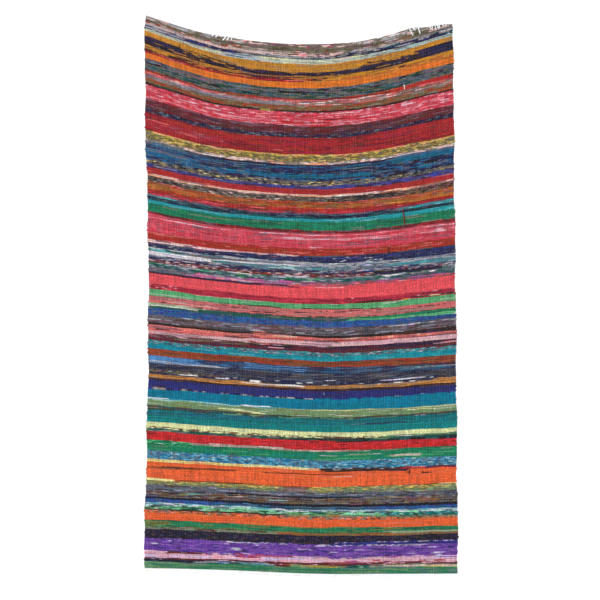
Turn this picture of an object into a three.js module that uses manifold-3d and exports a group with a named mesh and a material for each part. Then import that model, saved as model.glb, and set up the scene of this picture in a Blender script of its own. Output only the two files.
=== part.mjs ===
// A hand-woven rag rug that hangs by its two top corners.
// Millimetres, +Z up, +X to the viewer's right, the face towards -Y. The origin is the middle of the
// rug's top edge. A point of the weave has a place "across", from -0.5 at the left selvedge to 0.5 at
// the right one, and a "run", which is its distance down the middle warp from the origin. Its "out"
// is how far it stands in front of the middle of the cloth's thickness.
import * as THREE from 'three';
import { mergeVertices } from 'three/addons/utils/BufferGeometryUtils.js';
import Module from 'manifold-3d';

const wasm = await Module();
wasm.setup();

// Driving dimensions
const SECTION_LENGTH = 1500; // the run between the first and the last section below
const CLOTH_LENGTH = 1496; // the rag weave down its middle
const CLOTH_THICKNESS = 4.5; // two layers of rag strip over a cotton warp
const HEADING_HEIGHT = 11; // plain cotton shots under the last rag stripe
const HEADING_THICKNESS = 3;
const PIECE_GAP = 0.3;
const STRIP_HEIGHT = 2.4; // the row of knots that the cut warp ends stand on
const STRIP_THICKNESS = 2.4;
const END_THICKNESS = 1.6; // one twisted cotton end
const ROOT_DEPTH = 1.2; // how deep a standing end sits in its strip
const FALL_CLEARANCE = 2.2; // between a falling end and the cloth it passes
const SELVEDGE_WANDER = 1.6; // how far the beaten edge strays in and out

// How finely each solid is faceted
const CLOTH_COLUMNS = 20;
const CLOTH_ROWS = 64;
const STANDING_STEPS = 3;
const FALLING_STEPS = 12;

// The hung cloth in sections, from the top edge (down 0) to the bottom edge (down 1). left and right
// are the selvedges along X. The four lifts are how far a weft line stands above its lowest point, at
// LIFT_PLACES. middleY is the middle's place along Y and bow is how far the selvedges are in front
// of it.
const LIFT_PLACES = [-0.5, -0.25, 0.05, 0.25, 0.5];
const SECTIONS = [
  { down: 0.00, left: -434, right: 434, lifts: [86, 22, 0, 17, 70], middleY: 0, bow: 34 },
  { down: 0.10, left: -436, right: 439, lifts: [80, 21, 0, 16, 63], middleY: -6, bow: 29 },
  { down: 0.25, left: -432, right: 440, lifts: [66, 19, 0, 12, 52], middleY: -16, bow: 22 },
  { down: 0.40, left: -426, right: 443, lifts: [50, 18, 0, 9, 38], middleY: -24, bow: 16 },
  { down: 0.60, left: -426, right: 446, lifts: [38, 17, 0, 5, 24], middleY: -31, bow: 11 },
  { down: 0.80, left: -431, right: 448, lifts: [28, 14, 0, 3, 12], middleY: -35, bow: 8 },
  { down: 1.00, left: -439, right: 451, lifts: [17, 11, 0, 0, 1], middleY: -37, bow: 6 },
];

// The top edge is worn unevenly: the run at which the weave starts, by place across.
const TOP_EDGE = [
  { across: -0.5, start: 7 },
  { across: -0.38, start: 4 },
  { across: -0.2, start: 1 },
  { across: 0, start: 0 },
  { across: 0.33, start: 1 },
  { across: 0.42, start: 6 },
  { across: 0.5, start: 13 },
];

// Soft ridges of the hung cloth. Each follows a line from (across0, down0) to (across1, down1), is
// halfWidth wide in share of the width, and stands height in front of the cloth halfway along it.
const FOLDS = [
  { across0: -0.48, down0: 0.0, across1: -0.2, down1: 0.5, halfWidth: 0.06, height: 8 },
  { across0: 0.48, down0: 0.0, across1: 0.22, down1: 0.46, halfWidth: 0.055, height: 7 },
  { across0: -0.3, down0: 0.35, across1: -0.34, down1: 1.1, halfWidth: 0.08, height: 5 },
  { across0: 0.3, down0: 0.4, across1: 0.36, down1: 1.1, halfWidth: 0.07, height: 4 },
];

// Cut warp ends that stand up from the top edge, and ends that fall forward over the face. lean is
// the end's shift along X over its length, rise its height above the strip and fall the run it
// reaches below the top edge.
const RIGHT_STRIP = { from: 0.35, to: 0.5 };
const RIGHT_STANDING = {
  from: 0.406, to: 0.494, count: 13, rises: [5, 8, 4, 7, 9, 5, 6], leans: [2, -3, 1, 4, -2],
};
const RIGHT_FALLING = [
  { across: 0.361, rise: 3, fall: 23, lean: 13 },
  { across: 0.377, rise: 5, fall: 12, lean: -5 },
  { across: 0.396, rise: 3, fall: 18, lean: 8 },
];
const LEFT_STRIP = { from: -0.3, to: -0.2 };
const LEFT_STANDING = {
  from: -0.292, to: -0.208, count: 8, rises: [3, 5, 4], leans: [-2, 1, 3, -1],
};
const LEFT_FALLING = [
  { across: -0.276, rise: 2, fall: 9, lean: -5 },
  { across: -0.258, rise: 3, fall: 15, lean: -7 },
  { across: -0.241, rise: 2, fall: 17, lean: -8 },
  { across: -0.222, rise: 3, fall: 8, lean: 4 },
];

// Cubic curve through the points (xs[i], ys[i]); each point's slope comes from its neighbours.
function curve(xs, ys, x) {
  const last = xs.length - 1;
  let i = 0;
  while (i < last - 1 && x > xs[i + 1]) i += 1;
  const slope = (k) => {
    const before = Math.max(k - 1, 0);
    const after = Math.min(k + 1, last);
    return (ys[after] - ys[before]) / (xs[after] - xs[before]);
  };
  const width = xs[i + 1] - xs[i];
  const s = THREE.MathUtils.clamp((x - xs[i]) / width, 0, 1);
  const rest = 1 - s;
  const ends = ys[i] * rest * rest * (1 + 2 * s) + ys[i + 1] * s * s * (1 + 2 * rest);
  return ends + width * s * rest * (slope(i) * rest - slope(i + 1) * s);
}

const DOWNS = SECTIONS.map((section) => section.down);

function sectionValue(down, read) {
  return curve(DOWNS, SECTIONS.map(read), down);
}

function lift(across, down) {
  const lifts = LIFT_PLACES.map((_, k) => sectionValue(down, (section) => section.lifts[k]));
  return curve(LIFT_PLACES, lifts, across);
}

function topEdge(across) {
  return curve(TOP_EDGE.map((point) => point.across), TOP_EDGE.map((point) => point.start), across);
}

// How far the folds bring the cloth forward at one point.
function foldForward(across, down) {
  let forward = 0;
  for (const fold of FOLDS) {
    const along = (down - fold.down0) / (fold.down1 - fold.down0);
    if (along <= 0 || along >= 1) continue;
    const ridge = fold.across0 + (fold.across1 - fold.across0) * along;
    const aside = (across - ridge) / fold.halfWidth;
    forward += fold.height * Math.sin(Math.PI * along) ** 2 * Math.exp(-aside * aside);
  }
  return forward;
}

// The middle of the cloth's thickness at one place of the weave.
function middle(across, run) {
  const down = THREE.MathUtils.clamp(run / SECTION_LENGTH, 0, 1);
  const left = sectionValue(down, (section) => section.left);
  const right = sectionValue(down, (section) => section.right);
  const wander = SELVEDGE_WANDER * (Math.sin(run / 41) + 0.6 * Math.sin(run / 17 + across * 3));
  const edge = Math.sign(across) * Math.abs(2 * across) ** 12 * wander;
  const x = left + (right - left) * (across + 0.5) + edge;
  const bow = sectionValue(down, (section) => section.bow) * (2 * across) ** 2;
  const y = sectionValue(down, (section) => section.middleY) - bow - foldForward(across, down);
  const z = lift(across, down) - lift(0, 0) - run;
  return new THREE.Vector3(x, y, z);
}

// The direction that the face looks at one place of the weave.
function faceNormal(across, run) {
  const step = { across: 0.002, run: 2 };
  const rightward = middle(across + step.across, run).sub(middle(across - step.across, run));
  const upward = middle(across, run - step.run).sub(middle(across, run + step.run));
  return rightward.cross(upward).normalize();
}

function place(across, run, out) {
  return middle(across, run).addScaledVector(faceNormal(across, run), out);
}

function geometryFrom(points, triangles) {
  const geometry = new THREE.BufferGeometry();
  geometry.setAttribute('position', new THREE.Float32BufferAttribute(points.flatMap((p) => p.toArray()), 3));
  geometry.setIndex(triangles);
  return geometry;
}

// A closed sheet over a rectangle of the weave. runAt(across, share) gives the run of each row.
function sheet({ from, to, columns, rows, thickness, runAt }) {
  const points = [];
  for (const side of [1, -1]) {
    for (let row = 0; row <= rows; row += 1) {
      for (let column = 0; column <= columns; column += 1) {
        const across = from + ((to - from) * column) / columns;
        points.push(place(across, runAt(across, row / rows), (side * thickness) / 2));
      }
    }
  }
  const width = columns + 1;
  const layer = width * (rows + 1);
  const triangles = [];
  const quad = (a, b, c, d) => triangles.push(a, b, c, a, c, d);
  for (let row = 0; row < rows; row += 1) {
    for (let column = 0; column < columns; column += 1) {
      const corner = row * width + column;
      quad(corner, corner + width, corner + width + 1, corner + 1);
      quad(layer + corner, layer + corner + 1, layer + corner + width + 1, layer + corner + width);
    }
  }
  const rim = [];
  for (let column = 0; column < columns; column += 1) rim.push(column);
  for (let row = 0; row < rows; row += 1) rim.push(row * width + columns);
  for (let column = columns; column > 0; column -= 1) rim.push(rows * width + column);
  for (let row = rows; row > 0; row -= 1) rim.push(row * width);
  rim.forEach((start, k) => {
    const end = rim[(k + 1) % rim.length];
    quad(start, end, layer + end, layer + start);
  });
  return geometryFrom(points, triangles);
}

// A four-sided thread along a smooth curve through the given points.
function thread(points, steps) {
  const half = END_THICKNESS / 2;
  const section = new THREE.Shape([
    new THREE.Vector2(-half, 0),
    new THREE.Vector2(0, -half),
    new THREE.Vector2(half, 0),
    new THREE.Vector2(0, half),
  ]);
  return new THREE.ExtrudeGeometry(section, { steps, extrudePath: new THREE.CatmullRomCurve3(points) });
}

function solidFrom(geometry) {
  const bare = new THREE.BufferGeometry();
  bare.setAttribute('position', geometry.getAttribute('position'));
  bare.setIndex(geometry.getIndex());
  const merged = mergeVertices(bare, 1e-4);
  return new wasm.Manifold(new wasm.Mesh({
    numProp: 3,
    vertProperties: new Float32Array(merged.getAttribute('position').array),
    triVerts: new Uint32Array(merged.getIndex().array),
  }));
}

function geometryOf(solid) {
  const mesh = solid.getMesh();
  const geometry = new THREE.BufferGeometry();
  geometry.setAttribute('position', new THREE.BufferAttribute(mesh.vertProperties, 3));
  geometry.setIndex(new THREE.BufferAttribute(mesh.triVerts, 1));
  return geometry;
}

// Shifts a place across by a distance along X.
function acrossBy(across, distance) {
  const top = SECTIONS[0];
  return across + distance / (top.right - top.left);
}

function standingEnd(across, rise, lean) {
  const foot = topEdge(across) - PIECE_GAP - STRIP_HEIGHT;
  return thread([
    place(across, foot + ROOT_DEPTH, 0),
    place(acrossBy(across, lean * 0.3), foot - rise * 0.5, 0.3),
    place(acrossBy(across, lean), foot - rise, 1),
  ], STANDING_STEPS);
}

function fallingEnd({ across, rise, fall, lean }) {
  const edge = topEdge(across);
  const foot = edge - PIECE_GAP - STRIP_HEIGHT;
  const hang = (CLOTH_THICKNESS + END_THICKNESS) / 2 + FALL_CLEARANCE;
  return thread([
    place(across, foot + ROOT_DEPTH, 0),
    place(across, foot - rise * 0.8, hang * 0.2),
    place(acrossBy(across, lean * 0.1), foot - rise, hang * 0.7),
    place(acrossBy(across, lean * 0.25), foot, hang + 0.6),
    place(acrossBy(across, lean * 0.6), edge + fall * 0.45, hang + 0.2),
    place(acrossBy(across, lean), edge + fall, hang),
  ], FALLING_STEPS);
}

// A row of cut warp ends, fused at the root into a narrow strip above the cloth's top edge. The strip
// shares the cloth's columns, so that its facets follow the edge below it.
function warpEnds(strip, standing, falling) {
  const columns = Math.round((strip.to - strip.from) * CLOTH_COLUMNS);
  const runAt = (across, share) => topEdge(across) - PIECE_GAP - STRIP_HEIGHT * (1 - share);
  const root = sheet({ ...strip, columns, rows: 1, thickness: STRIP_THICKNESS, runAt });
  let solid = solidFrom(root);
  for (let k = 0; k < standing.count; k += 1) {
    const across = standing.from + ((standing.to - standing.from) * k) / (standing.count - 1);
    const rise = standing.rises[k % standing.rises.length];
    const lean = standing.leans[k % standing.leans.length];
    solid = solid.add(solidFrom(standingEnd(across, rise, lean)));
  }
  for (const end of falling) solid = solid.add(solidFrom(fallingEnd(end)));
  return geometryOf(solid);
}

function wovenPanel() {
  const runAt = (across, share) => topEdge(across) * (1 - share) + CLOTH_LENGTH * share;
  return sheet({
    from: -0.5, to: 0.5, columns: CLOTH_COLUMNS, rows: CLOTH_ROWS, thickness: CLOTH_THICKNESS, runAt,
  });
}

function bottomHeading() {
  const runAt = (across, share) => CLOTH_LENGTH + PIECE_GAP + HEADING_HEIGHT * share;
  return sheet({
    from: -0.5, to: 0.5, columns: CLOTH_COLUMNS, rows: 1, thickness: HEADING_THICKNESS, runAt,
  });
}

function piece(name, geometry, material) {
  const mesh = new THREE.Mesh(geometry, material);
  mesh.name = name;
  return mesh;
}

const rags = new THREE.MeshStandardMaterial({ color: 0x8a4f55, roughness: 0.95, metalness: 0 });
const cotton = new THREE.MeshStandardMaterial({ color: 0xe9e4d8, roughness: 0.9, metalness: 0 });

const rug = new THREE.Group();
rug.name = 'rag_rug';
rug.add(piece('woven_panel', wovenPanel(), rags));
rug.add(piece('bottom_heading', bottomHeading(), cotton));
rug.add(piece('warp_ends_right', warpEnds(RIGHT_STRIP, RIGHT_STANDING, RIGHT_FALLING), cotton));
rug.add(piece('warp_ends_left', warpEnds(LEFT_STRIP, LEFT_STANDING, LEFT_FALLING), cotton));

export default rug;
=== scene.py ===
# %% [markdown]
# # A striped rag rug, hung by its two top corners
#
# A rag rug is a plain weave: strips torn from old cloth (the weft) are beaten down hard over thin
# cotton strings (the warp), so hard that the warp hardly shows. What the eye sees is thousands of
# small plump stitches in upright ribs, one rib to each warp, and every stripe is a few passes of one
# strip. This lesson builds it the way it is woven: first the shape in which the cloth hangs, then
# the weaving plan, then one surface that gives every stitch its own bump and its own colour.
#
# Sizes are in millimetres in the tables and turned to Blender's metres by `MM`.

# %% Load the frame
import bpy
import numpy as np
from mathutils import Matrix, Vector


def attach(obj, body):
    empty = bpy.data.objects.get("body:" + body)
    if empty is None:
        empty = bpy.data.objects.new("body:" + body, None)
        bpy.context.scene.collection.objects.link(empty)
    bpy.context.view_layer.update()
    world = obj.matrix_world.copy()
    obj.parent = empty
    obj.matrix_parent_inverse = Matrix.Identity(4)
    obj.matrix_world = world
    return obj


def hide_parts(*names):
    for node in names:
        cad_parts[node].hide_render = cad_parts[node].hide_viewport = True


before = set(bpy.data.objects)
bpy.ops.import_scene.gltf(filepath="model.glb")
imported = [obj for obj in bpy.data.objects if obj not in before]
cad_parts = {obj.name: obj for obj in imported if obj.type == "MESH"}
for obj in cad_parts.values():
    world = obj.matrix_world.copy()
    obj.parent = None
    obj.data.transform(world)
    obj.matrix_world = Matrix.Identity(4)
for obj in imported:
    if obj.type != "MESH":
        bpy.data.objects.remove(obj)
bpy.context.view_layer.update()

MM = 0.001
random = np.random.default_rng(11)
print("frame nodes:", sorted(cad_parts))

# %% [markdown]
# ## The hanging shape
#
# Two corners carry the rug, so its top edge sags between them and the weft lines straighten out
# towards the bottom. A simulation would give some such shape, but not this one: here the weft lines
# themselves were measured, so a short table of level sections holds the shape exactly, and a smooth
# curve runs through it. A point of the cloth has a place `across` (-0.5 at the left selvedge, 0.5 at
# the right), a `run` (its distance down the middle warp) and an `out` (how far it stands in front of
# the middle of the thickness).

# %% Sections of the hung cloth
SECTION_LENGTH = 1500  # down the middle warp, from the first section to the last
CLOTH_LENGTH = 1496  # of that, the rag weave; the heading hangs below it
CLOTH_THICKNESS = 4.5
HEADING_HEIGHT = 11
PIECE_GAP = 0.3
STRIP_HEIGHT = 2.4  # of the row of knots on the top edge
# the selvedges stray by two waves of the run, the second one out of step from side to side
SELVEDGE_WANDER, SECOND_WAVE = 1.6, 0.6
LONG_WAVE, SHORT_WAVE, SIDE_STEP = 41, 17, 3
WANDER_FADE = 12  # power of the distance from the middle that keeps the straying at the edges
STEP_ACROSS, STEP_DOWN = 0.002, 2  # how far to each side the cloth's slope is read

LIFT_PLACES = [-0.5, -0.25, 0.05, 0.25, 0.5]
# share of the way down, left and right selvedge along X, how far a weft line stands above its lowest
# point at LIFT_PLACES, the middle's place along Y, how far the selvedges are in front of it
SECTIONS = [
    (0.00, -434, 434, (86, 22, 0, 17, 70), 0, 34),
    (0.10, -436, 439, (80, 21, 0, 16, 63), -6, 29),
    (0.25, -432, 440, (66, 19, 0, 12, 52), -16, 22),
    (0.40, -426, 443, (50, 18, 0, 9, 38), -24, 16),
    (0.60, -426, 446, (38, 17, 0, 5, 24), -31, 11),
    (0.80, -431, 448, (28, 14, 0, 3, 12), -35, 8),
    (1.00, -439, 451, (17, 11, 0, 0, 1), -37, 6),
]
# place across and the run at which the weave starts there: the top edge is worn unevenly
TOP_EDGE = [
    (-0.5, 3), (-0.38, 2), (-0.2, -3), (-0.05, -2), (0.1, -3), (0.2, -1),
    (0.3, -4), (0.37, -6), (0.42, 3), (0.46, 7), (0.5, 12),
]  # fmt: skip
# soft ridges: from (across, down) to (across, down), half width, height
FOLDS = [
    (-0.48, 0.0, -0.2, 0.5, 0.06, 8),
    (0.48, 0.0, 0.22, 0.46, 0.055, 7),
    (-0.3, 0.35, -0.34, 1.1, 0.08, 5),
    (0.3, 0.4, 0.36, 1.1, 0.07, 4),
]

print("hanging length down the middle:", SECTION_LENGTH, "mm in", len(SECTIONS), "sections")


# %% A smooth curve through points
def curve(xs, ys, x):
    """Smooth cubic through the points (xs, ys): each point's slope comes from its two neighbours.
    ys may hold one row of values for each point, which then broadcast against x."""
    xs, x = np.asarray(xs, float), np.asarray(x, float)
    ys = [np.asarray(y, float) for y in ys]
    last = len(xs) - 1
    slopes = [
        (ys[min(k + 1, last)] - ys[max(k - 1, 0)]) / (xs[min(k + 1, last)] - xs[max(k - 1, 0)])
        for k in range(last + 1)
    ]
    total = 0.0
    for k in range(last):
        width = xs[k + 1] - xs[k]
        s = np.clip((x - xs[k]) / width, 0, 1)
        rest = 1 - s
        piece = (
            ys[k] * rest**2 * (1 + 2 * s)
            + ys[k + 1] * s**2 * (1 + 2 * rest)
            + width * s * rest * (slopes[k] * rest - slopes[k + 1] * s)
        )
        inside = (x > xs[k]) | (k == 0)
        total = np.where(inside, piece, total)
    return total


# %% What the sections say at any place
DOWNS = [section[0] for section in SECTIONS]


def section_value(down, read):
    """One column of SECTIONS, read smoothly at any share of the way down."""
    return curve(DOWNS, [read(section) for section in SECTIONS], down)


def lift(across, down):
    """How far a weft line stands above its lowest point: the five lifts at this height, joined by a
    smooth curve across the rug."""
    heights = [section_value(down, lambda s, k=k: s[3][k]) for k in range(len(LIFT_PLACES))]
    return curve(LIFT_PLACES, heights, across)


def top_edge(across):
    """The run at which the weave starts."""
    return curve([p[0] for p in TOP_EDGE], [p[1] for p in TOP_EDGE], across)


def fold_forward(across, down):
    """Each fold is a bell across its ridge line, and rises and falls along it as a squared sine."""
    forward = 0.0
    for across0, down0, across1, down1, half_width, height in FOLDS:
        along = np.clip((down - down0) / (down1 - down0), 0, 1)
        ridge = across0 + (across1 - across0) * along
        bell = np.exp(-(((across - ridge) / half_width) ** 2))
        forward = forward + height * np.sin(np.pi * along) ** 2 * bell
    return forward


# %% From a place on the cloth to a point in the frame
def middle(across, run):
    """The middle of the cloth's thickness, in millimetres: X runs evenly between the selvedges, which
    stray a little, Y bows back in the middle and comes forward on the folds, Z is the lift less the
    run."""
    down = np.clip(run / SECTION_LENGTH, 0, 1)
    left = section_value(down, lambda s: s[1])
    right = section_value(down, lambda s: s[2])
    second = SECOND_WAVE * np.sin(run / SHORT_WAVE + across * SIDE_STEP)
    wander = SELVEDGE_WANDER * (np.sin(run / LONG_WAVE) + second)
    edge = np.sign(across) * np.abs(2 * across) ** WANDER_FADE * wander
    x = left + (right - left) * (across + 0.5) + edge
    bow = section_value(down, lambda s: s[5]) * (2 * across) ** 2
    y = section_value(down, lambda s: s[4]) - bow - fold_forward(across, down)
    z = lift(across, down) - lift(0.0, 0.0) - run
    return np.stack(np.broadcast_arrays(x, y, z), -1)


def place(across, run, out):
    """A point at that distance in front of the cloth's middle, along the cloth's own normal, which is
    the cross product of its slopes rightward and upward. The answer is in metres."""
    rightward = middle(across + STEP_ACROSS, run) - middle(across - STEP_ACROSS, run)
    upward = middle(across, run - STEP_DOWN) - middle(across, run + STEP_DOWN)
    normal = np.cross(rightward, upward)
    normal /= np.linalg.norm(normal, axis=-1, keepdims=True)
    return (middle(across, run) + normal * np.asarray(out, float)[..., None]) * MM


sides = np.array([-0.5, 0.5])
print("top corners at", place(sides, top_edge(sides), 0 * sides).round(3).tolist())

# %% [markdown]
# ## The rag basket
#
# The strips were torn from worn clothes and bed linen, so the colours are many but each is a plain
# cloth colour. They are named once here. A *mix* is one kind of strip: the share of each colour in
# it, and how many stitches in a row keep one colour before the print or the fold of the strip shows
# another. Plain strips have one colour, heathers change at every stitch.

# %% Rag colours
RAGS = {
    "ink": (30, 30, 44), "black": (32, 28, 30), "charcoal": (68, 64, 72), "ash": (104, 100, 106),
    "stone": (140, 130, 120), "pebble": (112, 104, 92), "fog": (176, 176, 184), "frost": (216, 220, 230),
    "white": (238, 234, 228), "navy": (46, 50, 96), "midnight": (34, 38, 74), "plum": (62, 42, 74),
    "slate": (84, 92, 112), "steel": (92, 116, 130), "royal": (40, 86, 150), "cobalt": (58, 66, 150),
    "violet": (78, 72, 142), "indigo": (44, 48, 122), "purple": (108, 64, 164), "orchid": (134, 92, 176),
    "lilac": (204, 186, 226), "lavender": (150, 144, 164), "sky": (86, 146, 202), "azure": (92, 164, 196),
    "lagoon": (0, 122, 156), "ocean": (30, 98, 144), "teal": (12, 124, 126), "pine teal": (30, 84, 90),
    "turquoise": (22, 150, 160), "aqua": (96, 176, 184), "pale aqua": (176, 208, 206),
    "mint": (132, 208, 164), "pale mint": (182, 192, 174), "leaf": (86, 168, 112), "green": (20, 130, 90),
    "bottle": (26, 84, 66), "forest": (38, 70, 54), "sage": (118, 150, 106), "moss": (124, 116, 62),
    "olive": (108, 102, 76), "khaki": (84, 76, 58), "straw": (220, 190, 112), "butter": (224, 228, 168),
    "mustard": (196, 134, 34), "ochre": (184, 160, 68), "gold": (216, 144, 62), "orange": (236, 100, 50),
    "tangerine": (228, 120, 34), "copper": (192, 96, 46), "rust": (160, 70, 38), "caramel": (168, 112, 56),
    "toffee": (124, 88, 58), "cocoa": (88, 58, 50), "bark": (58, 38, 34), "brick": (164, 50, 40),
    "scarlet": (206, 42, 46), "red": (176, 40, 42), "wine": (116, 30, 40), "maroon": (92, 38, 52),
    "crimson": (160, 38, 62), "cherry": (202, 56, 76), "rose": (206, 84, 100), "pink": (230, 134, 146),
    "blush": (222, 186, 182), "shell": (240, 200, 180), "petal": (226, 178, 194), "salmon": (210, 104, 104),
    "coral": (232, 84, 92), "melon": (218, 118, 100), "peach": (232, 158, 118), "magenta": (178, 88, 146),
    "mauve": (126, 84, 100), "cotton": (251, 253, 255),
}  # fmt: skip

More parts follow.
